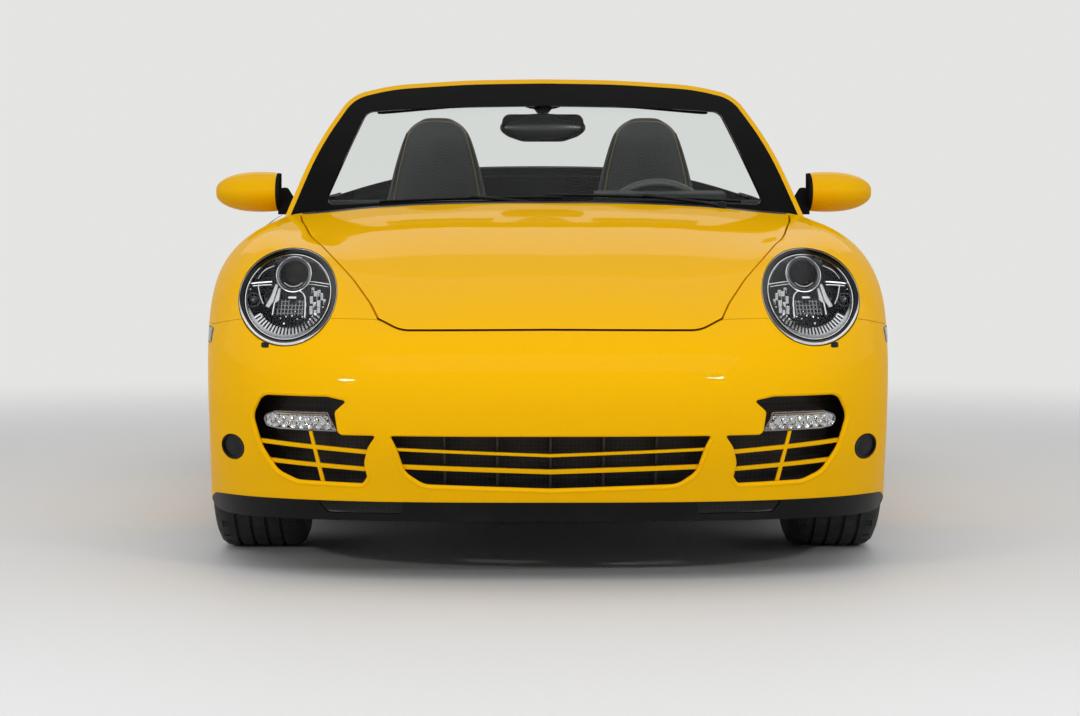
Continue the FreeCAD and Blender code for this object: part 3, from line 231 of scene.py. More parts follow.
def rounded(points, steps=5):
    """Corners of (a, b, radius) as a run of points on their arcs."""
    out = []
    count = len(points)
    for i, point in enumerate(points):
        p = Vector(point[:2])
        radius = point[2] if len(point) > 2 else 0
        if radius <= 0:
            out.append(tuple(p))
            continue
        a, b = Vector(points[i - 1][:2]) - p, Vector(points[(i + 1) % count][:2]) - p
        half = a.angle(b) / 2
        run = min(radius / math.tan(half), 0.49 * a.length, 0.49 * b.length)
        radius = run * math.tan(half)
        middle = p + (a.normalized() + b.normalized()).normalized() * (radius / math.sin(half))
        start, end = p + a.normalized() * run - middle, p + b.normalized() * run - middle
        for k in range(steps + 1):
            spoke = start.lerp(end, k / steps).normalized() * radius
            out.append(tuple(middle + spoke))
    return out


def box_outline(low, high, radius):
    """A rectangle between two corners, each rounded."""
    return rounded([(*low, radius), (low[0], high[1], radius), (*high, radius), (high[0], low[1], radius)])


def outlined(name, points, place, thickness, bevel=0.0):
    """A plate cut to an outline: a flat curve given thickness and rounded edges, then made a mesh.
    place is the matrix that carries the outline's plane to its place."""
    deselect()
    bpy.ops.curve.primitive_bezier_curve_add()
    data = bpy.context.object.data
    data.splines.clear()
    spline = data.splines.new("POLY")
    spline.points.add(len(points) - 1)
    for point, target in zip(spline.points, points):
        point.co = (target[0], target[1], 0, 1)
    spline.use_cyclic_u = True
    data.dimensions = "2D"
    data.fill_mode = "BOTH"
    data.extrude = thickness / 2
    data.bevel_depth = bevel
    data.bevel_resolution = 2
    data.offset = -bevel
    bpy.ops.object.convert(target="MESH")
    obj = bpy.context.object
    obj.name = name
    obj.matrix_world = place
    settle(obj)
    return cleaned(obj)


FACING_FRONT = Matrix(((1, 0, 0, 0), (0, 0, -1, 0), (0, 1, 0, 0), (0, 0, 0, 1)))


def from_front(y):
    """Carries an (x, z) outline to the plane across the car at y."""
    return Matrix.Translation((0, y, 0)) @ FACING_FRONT


def tube(name, points, radius, closed=False, sides=3, kind="NURBS"):
    """A round bar along a smooth line, or along a run of points where kind is POLY."""
    deselect()
    bpy.ops.curve.primitive_nurbs_path_add()
    data = bpy.context.object.data
    data.splines.clear()
    spline = data.splines.new(kind)
    spline.points.add(len(points) - 1)
    for point, target in zip(spline.points, points):
        point.co = (*target, 1)
    spline.use_cyclic_u = closed
    if kind == "NURBS":
        spline.order_u = 3
        spline.use_endpoint_u = not closed
        spline.resolution_u = 6
    data.bevel_depth = radius
    data.bevel_resolution = sides
    data.use_fill_caps = True
    bpy.ops.object.convert(target="MESH")
    obj = bpy.context.object
    obj.name = name
    settle(obj)
    return cleaned(obj)


def surface_of(*names):
    """A search tree over CAD nodes, to lay pieces on them."""
    vertices, faces = [], []
    for name in names:
        mesh = CAD[name].data
        first = len(vertices)
        vertices.extend(v.co.copy() for v in mesh.vertices)
        faces.extend([first + i for i in f.vertices] for f in mesh.polygons)
    return BVHTree.FromPolygons(vertices, faces)


FRONT_SKIN = surface_of("front_bumper", "front_fender_left", "front_fender_right", "hood")
SIDE_SKIN = surface_of("front_bumper", "front_fender_left", "door_left", "rear_quarter_left", "rear_bumper")
REAR_SKIN = surface_of("rear_bumper", "rear_quarter_left", "engine_lid", "tail_lamp_left")
UPPER_SKIN = surface_of("hood", "roof_lid", "engine_lid", "cowl_panel", "rear_quarter_left",
                        "rear_quarter_right")
SCREEN = surface_of("windscreen_glass", "windscreen_trim", "cowl_panel")
DOOR_SKIN = surface_of("door_left")


def probe(tree, start, direction):
    """Where a line into the car first meets the surface, or None."""
    return tree.ray_cast(Vector(start), Vector(direction))[0]


def front_y(x, z, tree=FRONT_SKIN):
    hit = probe(tree, (x, -4, z), (0, 1, 0))
    return hit.y if hit else None


def side_x(y, z):
    hit = probe(SIDE_SKIN, (3, y, z), (-1, 0, 0))
    return hit.x if hit else None


def rear_y(x, z):
    hit = probe(REAR_SKIN, (x, 4, z), (0, -1, 0))
    return hit.y if hit else None


SHOULDER_Z = 0.93


def top_z(x, y):
    """The height of the upper skin, or the shoulder's where a gap lies below."""
    hit = probe(UPPER_SKIN, (x, y, 4), (0, 0, -1))
    return hit.z if hit else SHOULDER_Z


def ring_round(centre, half, share=1.05, count=48):
    turns = [math.tau * i / count for i in range(count)]
    return [(centre[0] + half[0] * share * math.cos(a), centre[1] + half[1] * share * math.sin(a))
            for a in turns]


def fitted(points, centre, measure=front_y, degree=2):
    """A smooth surface through the skin at these places, which also spans the openings in it."""
    powers = [(i, j) for i in range(degree + 1) for j in range(degree + 1 - i)]
    rows, heights = [], []
    for a, b in points:
        height = measure(a, b)
        if height is not None:
            rows.append([(a - centre[0]) ** i * (b - centre[1]) ** j for i, j in powers])
            heights.append(height)
    rows, heights = np.array(rows), np.array(heights)
    fit = np.linalg.lstsq(rows, heights, rcond=None)[0]
    errors = np.abs(rows @ fit - heights)
    near = errors < 2.5 * np.median(errors) + 0.002
    fit = np.linalg.lstsq(rows[near], heights[near], rcond=None)[0]

    def height_at(a, b):
        return float(sum(c * (a - centre[0]) ** i * (b - centre[1]) ** j for c, (i, j) in zip(fit, powers)))
    return height_at


def on_front(y_at):
    """Carries (x, z, depth) to a surface seen from the front."""
    return lambda x, z, depth: (x, y_at(x, z) + depth, z)


def on_side(x_at):
    """Carries (y, z, depth) to a surface seen from the left."""
    return lambda y, z, depth: (x_at(y, z) - depth, y, z)


def on_rear(y_at):
    """Carries (x, z, depth) to a surface seen from behind."""
    return lambda x, z, depth: (x, y_at(x, z) - depth, z)


def laid_oval(name, rings, centre, half, place, segments=96, dome=0.0, power=2.0):
    """Rings of (share of an oval, depth), laid on a curved surface. A power above 2 squares the oval."""
    obj = turned(name, rings, axis="Z", segments=segments)
    for v in obj.data.vertices:
        share, depth = v.co.xy.length, v.co.z
        across, up = (v.co.xy / share) if share > 0 else (0.0, 0.0)
        across = math.copysign(abs(across) ** (2 / power), across) * share
        up = math.copysign(abs(up) ** (2 / power), up) * share
        v.co = place(centre[0] + across * half[0], centre[1] + up * half[1],
                     depth - dome * (1 - share * share))
    return cleaned(obj)


SKIN_VIEWS = {"front": (front_y, on_front), "left": (side_x, on_side), "rear": (rear_y, on_rear)}


def skin_oval(name, rings, centre, half, view="front", reach=None, share=1.3, segments=64, power=2.0):
    """A low oval piece that follows the skin, which is measured on a ring of reach times share round it."""
    measure, carry = SKIN_VIEWS[view]
    surface = fitted(ring_round(centre, reach or half, share), centre, measure)
    return laid_oval(name, rings, centre, half, carry(surface), segments, power=power)


def closer(points, pitch, closed=True):
    """The same line with a point at least every pitch along its runs."""
    out = []
    ends = points[1:] + points[:1] if closed else points[1:]
    for a, b in zip(points, ends):
        a, b = Vector(a), Vector(b)
        count = max(1, math.ceil((b - a).length / pitch))
        out.extend(tuple(a.lerp(b, k / count)) for k in range(count))
    return out if closed else out + [tuple(points[-1])]


def cut_to(obj, points, place, reach=0.6):
    """Keeps only what lies inside an outline that is carried through the piece."""
    cutter = outlined("cutter", points, place, reach)
    apply(obj, "BOOLEAN", operation="INTERSECT", object=cutter, solver="EXACT")
    bpy.data.objects.remove(cutter)
    return obj


def moulded_form(name, cuts, shape):
    """A block divided into small faces, with each point of its surface moved to shape(u, v, w).
    u, v and w run from -1 to 1 across it, from front to back and upwards."""
    deselect()
    bpy.ops.mesh.primitive_cube_add(size=2, enter_editmode=True)
    bpy.ops.mesh.select_all(action="SELECT")
    bpy.ops.mesh.subdivide(number_cuts=cuts)
    bpy.ops.object.mode_set(mode="OBJECT")
    obj = bpy.context.object
    obj.name = name
    for v in obj.data.vertices:
        v.co = shape(*v.co)
    return cleaned(obj)


def between_marks(marks, value):
    """Reads a line through (value, result) marks."""
    return float(np.interp(value, [m[0] for m in marks], [m[1] for m in marks]))


def soft_step(low, high, value):
    """0 below low, 1 above high, smooth between them."""
    t = min(max((value - low) / (high - low), 0.0), 1.0)
    return t * t * (3 - 2 * t)


CLOTH_FRAMES = 20


def swollen(obj, limit):
    """Pads a closed form: an even mesh, blown up as cloth, with no point moved further than limit."""
    apply(obj, "REMESH", mode="VOXEL", voxel_size=0.006)
    before = [v.co.copy() for v in obj.data.vertices]
    activate(obj)
    modifier = obj.modifiers.new("Cloth", "CLOTH")
    cloth = modifier.settings
    cloth.quality = 5
    cloth.mass = 0.3
    cloth.use_pressure = True
    cloth.uniform_pressure_force = 4.0
    cloth.effector_weights.gravity = 0
    for number in range(1, CLOTH_FRAMES + 1):
        bpy.context.scene.frame_set(number)
    bpy.ops.object.modifier_apply(modifier=modifier.name)
    bpy.context.scene.frame_set(1)
    for v, old in zip(obj.data.vertices, before):
        move = v.co - old
        if move.length > limit:
            v.co = old + move.normalized() * limit
    return smooth(subdivided(obj), 80)


def stitches(name, points, pitch=0.007, share=0.72, radius=0.0013):
    """A row of thread stitches along a line."""
    line = closer(points, pitch, closed=False)
    dashes = []
    for start, end in zip(line, line[1:]):
        a, b = Vector(start), Vector(end)
        b = a.lerp(b, share)
        turn = (b - a).to_track_quat("Z", "Y").to_euler()
        deselect()
        bpy.ops.mesh.primitive_cylinder_add(vertices=5, radius=radius, depth=(b - a).length,
                                            location=(a + b) / 2, rotation=turn)
        dashes.append(settle(bpy.context.object))
    return smooth(united(name, *dashes))


# Shader maths as plain expressions


class Value:
    """One socket of a material. The usual operators add Math nodes."""

    def __init__(self, shade, socket):
        self.shade = shade
        self.socket = socket

    def math(self, operation, *others, swap=False):
        terms = [self, *others]
        if swap:
            terms.reverse()
        return self.shade.node("ShaderNodeMath", {"operation": operation}, dict(enumerate(terms)))

    def __add__(self, other):
        return self.math("ADD", other)

    __radd__ = __add__

    def __mul__(self, other):
        return self.math("MULTIPLY", other)

    __rmul__ = __mul__

    def __sub__(self, other):
        return self.math("SUBTRACT", other)

    def __rsub__(self, other):
        return self.math("SUBTRACT", other, swap=True)

    def __gt__(self, other):
        return self.math("GREATER_THAN", other)

    def __lt__(self, other):
        return self.math("LESS_THAN", other)

    def abs(self):
        return self.math("ABSOLUTE")

    def wave(self, waves_per_unit):
        """A sine of the value, from -1 to 1."""
        return (self * (waves_per_unit * math.tau)).math("SINE")

    def from_middle(self, cells_per_unit):
        """How far the value lies from the middle of its cell, in a row of equal cells."""
        return ((self * cells_per_unit).math("FRACT") - 0.5).abs()

    def between(self, low, high):
        """0 below low, 1 above high, smooth between them."""
        settings = {"interpolation_type": "SMOOTHSTEP"}
        return self.shade.node("ShaderNodeMapRange", settings,
                               {"Value": self, "From Min": low, "From Max": high})


class Shade:
    """A material, or the world, under construction."""

    def __init__(self, name, world=None):
        self.material = world or bpy.data.materials.new(name)
        self.material.use_nodes = True
        self.tree = self.material.node_tree
        self.tree.nodes.clear()

    def node(self, kind, settings=None, inputs=None, output=0):
        node = self.tree.nodes.new(kind)
        for key, value in (settings or {}).items():
            setattr(node, key, value)
        for key, value in (inputs or {}).items():
            if isinstance(value, Value):
                self.tree.links.new(value.socket, node.inputs[key])
            elif value is not None:
                node.inputs[key].default_value = value
        return Value(self, node.outputs[output])

    def place(self):
        return self.node("ShaderNodeTexCoord", output="Object")

    def xyz(self):
        parts = self.node("ShaderNodeSeparateXYZ", inputs={"Vector": self.place()})
        outputs = parts.socket.node.outputs
        return [Value(self, outputs[i]) for i in range(3)]

    def noise(self, scale, detail=3.0, stretch=None):
        where = self.place()
        if stretch:
            where = self.node("ShaderNodeVectorMath", {"operation": "MULTIPLY"}, {0: where, 1: stretch})
        return self.node("ShaderNodeTexNoise", None, {"Vector": where, "Scale": scale, "Detail": detail},
                         output="Fac")

    def cells(self, scale, feature="F1"):
        return self.node("ShaderNodeTexVoronoi", {"feature": feature},
                         {"Vector": self.place(), "Scale": scale}, output="Distance")

    def mix(self, one, other, factor):
        settings = {"data_type": "RGBA"}
        return self.node("ShaderNodeMix", settings, {0: factor, 6: rgba(one), 7: rgba(other)}, output=2)

    def bump(self, height, distance, strength=1.0, normal=None):
        return self.node("ShaderNodeBump", None, {"Height": height, "Distance": distance,
                                                  "Strength": strength, "Normal": normal})

    def edges(self, radius):
        """A normal that rounds the sharp edges of a solid."""
        return self.node("ShaderNodeBevel", {"samples": 6}, {"Radius": radius})

    def finish(self, **sockets):
        inputs = {key.replace("_", " "): rgba(value) if key == "Base_Color" else value
                  for key, value in sockets.items()}
        self.output(self.node("ShaderNodeBsdfPrincipled", None, inputs))
        return self.material

    def output(self, shader, kind="ShaderNodeOutputMaterial"):
        end = self.tree.nodes.new(kind)
        self.tree.links.new(shader.socket, end.inputs["Surface"])


def rgba(color):
    return (*color, 1) if isinstance(color, (tuple, list)) and len(color) == 3 else color


def toned(color, share, lift=0.0):
    return tuple(c * share + lift for c in color)


MATERIALS = {}


def material(name):
    """The finished material of that name, made when it is first asked for."""
    if name not in MATERIALS:
        MATERIALS[name] = FINISHES[name](Shade(name))
    return MATERIALS[name]


def looks():
    return bpy.context.scene.car_looks


PAINT_COAT = 0.2
PAINT_SHEEN = {"Coat_Roughness": 0.03, "Coat_IOR": 1.3, "Specular_IOR_Level": 0.0}
NEAR_BLACK = (0.012, 0.012, 0.013)


def paint_tone(s):
    """The paint's colour, with its fine flecks."""
    paint = tuple(looks().paint)
    return s.mix(paint, toned(paint, 0.93), s.noise(900, 2).between(0.3, 0.7))


def gloss_paint(s, edge_radius=0.0016):
    x, y, z = s.xyz()
    haze = s.noise(2.5, 3)
    dust = (1 - z.between(0.16, 0.42)) * s.noise(14, 4).between(0.35, 0.8)
    color = s.mix(paint_tone(s), toned(looks().paint, 0.9, 0.01), dust * 0.35)
    peel = s.bump(s.noise(260, 2), 0.00003, 0.35, s.edges(edge_radius))
    return s.finish(Base_Color=color, Roughness=0.36 + haze * 0.05 + dust * 0.15, Coat_Weight=PAINT_COAT,
                    Normal=peel, **PAINT_SHEEN)


def door_trim(out, y, z):
    """The door's inner face and the stalk of its mirror."""
    lean = (z - 0.69).math("MAXIMUM", 0.0) * 0.343
    panel = (out + lean < 0.803) * (z < 0.868) * (z > 0.27)
    stalk = (out < 0.778) * (z > 0.872) * (y < -0.44)
    return (panel + stalk).math("MINIMUM", 1.0)


def quarter_trim(out, y, z):
    """The quarter's edge beside the rear seats."""
    return (out < 0.7455) * (y < 0.6715) * (z > 0.5)


def part_painted(trim):
    """Paint, with black grained trim where trim says so."""
    def make(s):
        x, y, z = s.xyz()
        black = trim(x.abs(), y, z)
        height = s.cells(900) * black * 0.4 + s.noise(260, 2) * 0.1
        return s.finish(Base_Color=s.mix(paint_tone(s), NEAR_BLACK, black), Roughness=0.36 + black * 0.2,
                        Coat_Weight=(1 - black) * PAINT_COAT,
                        Normal=s.bump(height, 0.0001, 0.5, s.edges(0.0016)), **PAINT_SHEEN)
    return make


def moulded(color, rough=0.5, grain=1400, depth=0.00008, shine=0.25):
    """Grained plastic."""
    def make(s):
        wear = s.noise(9, 4)
        tone = s.mix(color, toned(color, 1.5, 0.002), wear.between(0.45, 0.85))
        normal = s.bump(s.cells(grain), depth, 0.6, s.edges(0.001))
        return s.finish(Base_Color=tone, Roughness=rough + wear * 0.12, Normal=normal,
                        Specular_IOR_Level=shine)
    return make


def metal(color, rough, scratch=1.0, edge=0.0006):
    def make(s):
        streak = s.noise(60, 5, stretch=(1, 1, 8))
        tone = s.mix(color, toned(color, 0.82), streak.between(0.35, 0.75))
        return s.finish(Base_Color=tone, Metallic=1.0, Roughness=rough + streak * 0.08 * scratch,
                        Normal=s.bump(streak, 0.00002, 0.3 * scratch, s.edges(edge)))
    return make


def mirror_metal(color=(0.86, 0.87, 0.88), rough=0.05):
    def make(s):
        haze = s.noise(35, 3)
        return s.finish(Base_Color=s.mix(color, toned(color, 0.9), haze), Metallic=1.0,
                        Roughness=rough + haze * 0.03)
    return make


def clear(tint, mirror=0.05, slanted=0.9, body=0.0):
    """A thin clear pane: what is behind shows through, and the surface reflects at a slant."""
    def make(s):
        smear = s.noise(6, 3)
        glass = s.node("ShaderNodeBsdfPrincipled", None,
                       {"Base Color": rgba(toned(tint, body)), "Roughness": smear * 0.02,
                        "Coat Weight": 1.0, "Coat Roughness": 0.01})
        through = s.node("ShaderNodeBsdfTransparent", None, {"Color": rgba(tint)})
        facing = s.node("ShaderNodeLayerWeight", None, {"Blend": 0.5}, output="Facing")
        share = facing.math("POWER", 5.0) * slanted + mirror
        s.output(s.node("ShaderNodeMixShader", None, {0: share, 1: through, 2: glass}))
        return s.material
    return make


def canvas(s):
    """The woven black cloth of the folded top's deck."""
    x, y, z = s.xyz()
    weave = x.wave(900) * y.wave(900)
    patch = s.noise(5, 4)
    color = s.mix((0.008, 0.008, 0.009), (0.022, 0.022, 0.023), weave * 0.3 + patch * 0.5)
    return s.finish(Base_Color=color, Roughness=0.88, Normal=s.bump(weave, 0.0006, 0.6, s.edges(0.003)),
                    Sheen_Weight=0.1, Specular_IOR_Level=0.2)


def tyre_rubber(s):
    worn = s.noise(30, 5)
    color = s.mix(NEAR_BLACK, (0.034, 0.033, 0.032), worn.between(0.4, 0.8))
    return s.finish(Base_Color=color, Roughness=0.72 + worn * 0.12,
                    Normal=s.bump(s.noise(700, 3), 0.0002, 0.5))


def leather(color, grain=520, rough=0.46, shine=0.4):
    def make(s):
        creases = s.cells(grain, "DISTANCE_TO_EDGE")
        patch = s.noise(7, 4)
        tone = s.mix(color, toned(color, 1.7, 0.003), patch.between(0.35, 0.8))
        height = creases.between(0.0, 0.25) * 0.6 + s.noise(60, 3) * 0.4
        return s.finish(Base_Color=tone, Roughness=rough + patch * 0.14,
                        Normal=s.bump(height, 0.0005, 0.7), Specular_IOR_Level=shine)
    return make


def carpet(s):
    tufts = s.noise(1500, 2)
    patch = s.noise(12, 4)
    color = s.mix(NEAR_BLACK, (0.035, 0.035, 0.037), tufts * 0.7 + patch * 0.3)
    return s.finish(Base_Color=color, Roughness=0.95, Normal=s.bump(tufts, 0.002, 0.9), Sheen_Weight=0.15)


def lamp_glass(s):
    """The moulded clear plastic of a daytime lamp, with a diamond pattern behind it."""
    x, y, z = s.xyz()
    facets = (x + z).from_middle(260) + (x - z).from_middle(260)
    color = s.mix((0.16, 0.17, 0.19), (0.92, 0.94, 0.97), facets.between(0.35, 0.9))
    return s.finish(Base_Color=color, Metallic=0.85, Roughness=0.12 + facets * 0.1, Coat_Weight=1.0,
                    Coat_Roughness=0.02, Normal=s.bump(facets, 0.003, 1.0))


def red_lens(s):
    x, y, z = s.xyz()
    cells = x.from_middle(330) + z.from_middle(160)
    color = s.mix((0.20, 0.002, 0.003), (0.50, 0.006, 0.006), cells.between(0.3, 0.8))
    return s.finish(Base_Color=color, Roughness=0.3 + cells * 0.1, Coat_Weight=0.25, Coat_Roughness=0.02,
                    Normal=s.bump(cells, 0.0015, 0.6, s.edges(0.002)), Specular_IOR_Level=0.1)


def honeycomb(s):
    """Fine dark mesh behind the front openings. Its holes are painted darker than its wires, as painted shade
    seen through the mesh.
    """
    x, y, z = s.xyz()
    wire = 1 - (x.from_middle(95) < 0.36) * (z.from_middle(95) < 0.36)
    # The near-black colour of the holes is painted shade; the wires keep the plastic's own dark colour.
    color = s.mix((0.002, 0.002, 0.002), (0.016, 0.016, 0.017), wire)
    return s.finish(Base_Color=color, Roughness=0.55 + wire * 0.1,
                    Normal=s.bump(wire, 0.002, 0.8, s.edges(0.001)))


def thread(s):
    twist = s.noise(2600, 2)
    color = tuple(looks().stitching)
    return s.finish(Base_Color=s.mix(color, toned(color, 0.5), twist), Roughness=0.7,
                    Normal=s.bump(twist, 0.0003, 0.6))


def brake_disc(s):
    rings = s.noise(300, 2, stretch=(30, 1, 1))
    return s.finish(Base_Color=s.mix((0.42, 0.42, 0.43), (0.3, 0.3, 0.31), rings), Metallic=1.0,
                    Roughness=0.28 + rings * 0.12)


FINISHES = {
    "gloss_paint": gloss_paint,
    "bumper_paint": lambda s: gloss_paint(s, 0.004),
    "door_finish": part_painted(door_trim),
    "quarter_finish": part_painted(quarter_trim),
    "black_plastic": moulded((0.0045, 0.0045, 0.005), 0.42, shine=0.12),
    "soft_black": moulded((0.009, 0.009, 0.0095), 0.6, 700, 0.0002, shine=0.2),
    "gloss_black": moulded((0.003, 0.003, 0.0032), 0.12, 300, 0.00001, shine=0.12),
    "screen_black": moulded((0.0015, 0.0015, 0.0015), 0.4, 300, 0.00001, shine=0.015),
    "bowl_black": moulded((0.012, 0.013, 0.015), 0.18, 300, 0.00001, shine=0.5),
    "wheel_leather": leather((0.016, 0.016, 0.017), 700, 0.28, 0.9),
    "mirror_plastic": moulded((0.010, 0.012, 0.013), 0.22, 300, 0.00001, shine=0.9),
    "dial_black": moulded((0.010, 0.010, 0.011), 0.5, 900, 0.00002, shine=0.2),
    "dial_white": moulded((0.75, 0.75, 0.74), 0.5, 900, 0.00002),
    "lamp_plastic": moulded((0.70, 0.71, 0.73), 0.2, 300, 0.00002, shine=0.5),
    "canvas": canvas,
    "honeycomb": honeycomb,
    "chrome": mirror_metal(),
    "dark_chrome": mirror_metal((0.26, 0.27, 0.29), 0.1),
    "bronze_chrome": mirror_metal((0.35, 0.29, 0.22), 0.12),
    "smoked_lens": moulded((0.045, 0.05, 0.055), 0.12, 300, 0.00002),
    "satin_silver": metal((0.62, 0.63, 0.65), 0.24),
    "rim_silver": metal((0.60, 0.61, 0.63), 0.2, 0.4, 0.003),
    "brake_disc": brake_disc,
    "cast_metal": metal((0.32, 0.32, 0.33), 0.5),
    "chassis_metal": metal((0.1, 0.1, 0.105), 0.55),
    "screen_glass": clear((0.95, 0.97, 0.96), 0.03, 0.5),
    "lamp_cover": clear((0.98, 0.985, 0.99), 0.04, 0.8),
    "dark_glass": clear((0.2, 0.2, 0.22), 0.08, 0.9, 0.05),
    "daytime_glass": lamp_glass,
    "red_lens": red_lens,
    "tyre_rubber": tyre_rubber,
    "leather": leather((0.014, 0.014, 0.015)),
    "carpet": carpet,
    "thread": thread,
}

FINISH_NODES = {
    "gloss_paint": "front_fender_* rear_bumper hood windscreen_frame engine_lid",
    "bumper_paint": "front_bumper", "quarter_finish": "rear_quarter_*", "door_finish": "door_*",
    "black_plastic": "front_lip cowl_panel", "honeycomb": "front_grilles", "bowl_black": "headlamp_*",
    "daytime_glass": "daytime_lamp_*", "red_lens": "tail_lamp_*", "screen_black": "windscreen_trim",
    "screen_glass": "windscreen_glass", "canvas": "roof_lid", "carpet": "floor_pan",
    "soft_black": "front_bulkhead front_trunk_tub rear_bulkhead dashboard", "cast_metal": "engine",
    "chassis_metal": "front_suspension rear_suspension knuckle_*",
    "tyre_rubber": "tyre_front_* tyre_rear_*", "rim_silver": "rim_front_* rim_rear_*",
    "leather": "front_seat_* rear_seats", "wheel_leather": "steering_wheel",
}


# What a user would change


def color_choice(name, description, default):
    return bpy.props.FloatVectorProperty(name=name, description=description, subtype="COLOR", min=0, max=1,
                                         default=default)


def length_choice(name, description, default):
    return bpy.props.FloatProperty(name=name, description=description, subtype="DISTANCE", unit="LENGTH",
                                   default=default)


class CarLooks(bpy.types.PropertyGroup):
    paint: color_choice("Paint", "Colour of the painted panels", (0.90, 0.47, 0.001))
    stitching: color_choice("Stitching", "Colour of the seats' thread", (0.42, 0.31, 0.03))
    floor: color_choice("Floor", "Colour of the studio floor", (0.72, 0.72, 0.71))
    camera_distance: length_choice("Camera distance", "From the lens to the nose", 6.265)
    camera_height: length_choice("Camera height", "Above the floor", 0.87)


# Stage

IMAGE_WIDTH = 1080
IMAGE_HEIGHT = 716
LENS_IN_PIXELS = 2719
VANISHING_COLUMN = 518
HORIZON_ROW = 216.5
CAMERA_X = -0.076
SENSOR = 36.0
BACKDROP = (0.78, 0.78, 0.77)
SKY = (0.30, 0.31, 0.33)
FADE_START = 2.7
FADE_END = 6.5
LIGHTS = (("softbox_front", (0, -7.0, 5.6), (0, -1.8, 0.4), (9.0, 4.0), 230),
          ("softbox_top", (0, 1.0, 7.0), (0, 0.2, 0), (10.0, 9.0), 152),
          ("softbox_left", (7.0, -0.5, 3.0), (0, -0.5, 0.5), (8.0, 3.0), 60),
          ("softbox_right", (-7.0, -0.5, 3.0), (0, -0.5, 0.5), (8.0, 3.0), 60),
          ("softbox_back", (0, 8.0, 4.5), (0, 1.5, 0.6), (8.0, 3.0), 70),
          ("lamp_glint", (-3.05, -5.3, 1.6), (-0.47, -2.17, 0.49), (0.4, 0.14), 36),
          ("lamp_glint", (2.4, -5.6, 1.9), (0.38, -2.19, 0.49), (0.4, 0.14), 36))


def area_light(name, place, aim, size, power):
    light = bpy.data.lights.new(name, "AREA")
    light.shape = "RECTANGLE"
    light.size, light.size_y = size
    light.energy = power
    obj = bpy.data.objects.new(name, light)
    bpy.context.scene.collection.objects.link(obj)
    obj.location = place
    obj.rotation_euler = (Vector(aim) - Vector(place)).to_track_quat("-Z", "Y").to_euler()


def seen_rays(shade):
    """1 for the rays that see the backdrop: the camera's, and those by way of gloss or glass."""
    camera = shade.node("ShaderNodeLightPath", output="Is Camera Ray")
    outputs = camera.socket.node.outputs
    return camera + Value(shade, outputs["Is Glossy Ray"]) + Value(shade, outputs["Is Transmission Ray"])


class CAR_OT_stage(bpy.types.Operator):
    """Add the floor, the soft studio lights and the camera"""
    bl_idname = "car.stage"
    bl_label = "Studio"

    def execute(self, context):
        context.scene.view_settings.view_transform = "Standard"
        self.floor()
        world = bpy.data.worlds.new("studio")
        context.scene.world = world
        air = Shade("studio", world)
        tone = air.mix(SKY, BACKDROP, seen_rays(air))
        air.output(air.node("ShaderNodeBackground", None, {"Color": tone}), "ShaderNodeOutputWorld")
        for light in LIGHTS:
            area_light(*light)
        self.camera(context.scene)
        return {"FINISHED"}

    def floor(self):
        """A floor that is lit round the car and fades into the backdrop further out."""
        deselect()
        bpy.ops.mesh.primitive_plane_add(size=120, location=(0, 0, 0))
        floor = bpy.context.object
        floor.name = "studio_floor"
        settle(floor)
        s = Shade("studio_floor")
        tone = tuple(looks().floor)
        lit = s.node("ShaderNodeBsdfPrincipled", None,
                     {"Base Color": s.mix(tone, toned(tone, 0.97), s.noise(40, 3)), "Roughness": 0.7})
        plain = s.node("ShaderNodeEmission", None, {"Color": rgba(BACKDROP), "Strength": 1.0})
        x, y, z = s.xyz()
        far = ((x * x + y * y).math("SQRT")).between(FADE_START, FADE_END)
        s.output(s.node("ShaderNodeMixShader", None, {0: far * seen_rays(s), 1: lit, 2: plain}))
        floor.data.materials.append(s.material)

    def camera(self, scene):
        camera = bpy.data.cameras.new("camera")
        camera.sensor_width = SENSOR
        camera.lens = LENS_IN_PIXELS / IMAGE_WIDTH * SENSOR
        obj = bpy.data.objects.new("camera", camera)
        scene.collection.objects.link(obj)
        nose = CAD_BOX[0].y
        obj.location = (CAMERA_X, nose - looks().camera_distance, looks().camera_height)
        pitch = math.atan((IMAGE_HEIGHT / 2 - HORIZON_ROW) / LENS_IN_PIXELS)
        yaw = math.atan((IMAGE_WIDTH / 2 - VANISHING_COLUMN) / LENS_IN_PIXELS)
        obj.rotation_euler = (math.pi / 2 - pitch, 0, -yaw)
        scene.camera = obj


class CAR_OT_panels(bpy.types.Operator):
    """Paint the body panels and give every other carried-over part its own finish"""
    bl_idname = "car.panels"
    bl_label = "Panels and paint"

    def execute(self, context):
        for finish, patterns in FINISH_NODES.items():
            for name in {n.replace("*", side) for n in patterns.split() for side in SIDES}:
                mesh = CAD[name].data
                if not mesh.materials:
                    mesh.materials.append(material(finish))
                for i in range(len(mesh.materials)):
                    mesh.materials[i] = material(finish)
        return {"FINISHED"}


# Headlamps

LAMP_X = 0.632
LAMP_Z = 0.678
LAMP_HALF = (0.122, 0.114)
LAMP_BACK = -1.7305
PROJECTOR_Z = 0.730
COVER_LEAN = 0.8


def lamp_oval(name, rings, place, segments=96, dome=0.0):
    return laid_oval(name, rings, (LAMP_X, LAMP_Z), LAMP_HALF, place, segments, dome)


def lamp_pair(obj, name, finish, angle=35, replaces=()):
    filed_pair(smooth(obj, angle), "headlamp_" + name, "chassis", finish, replaces)


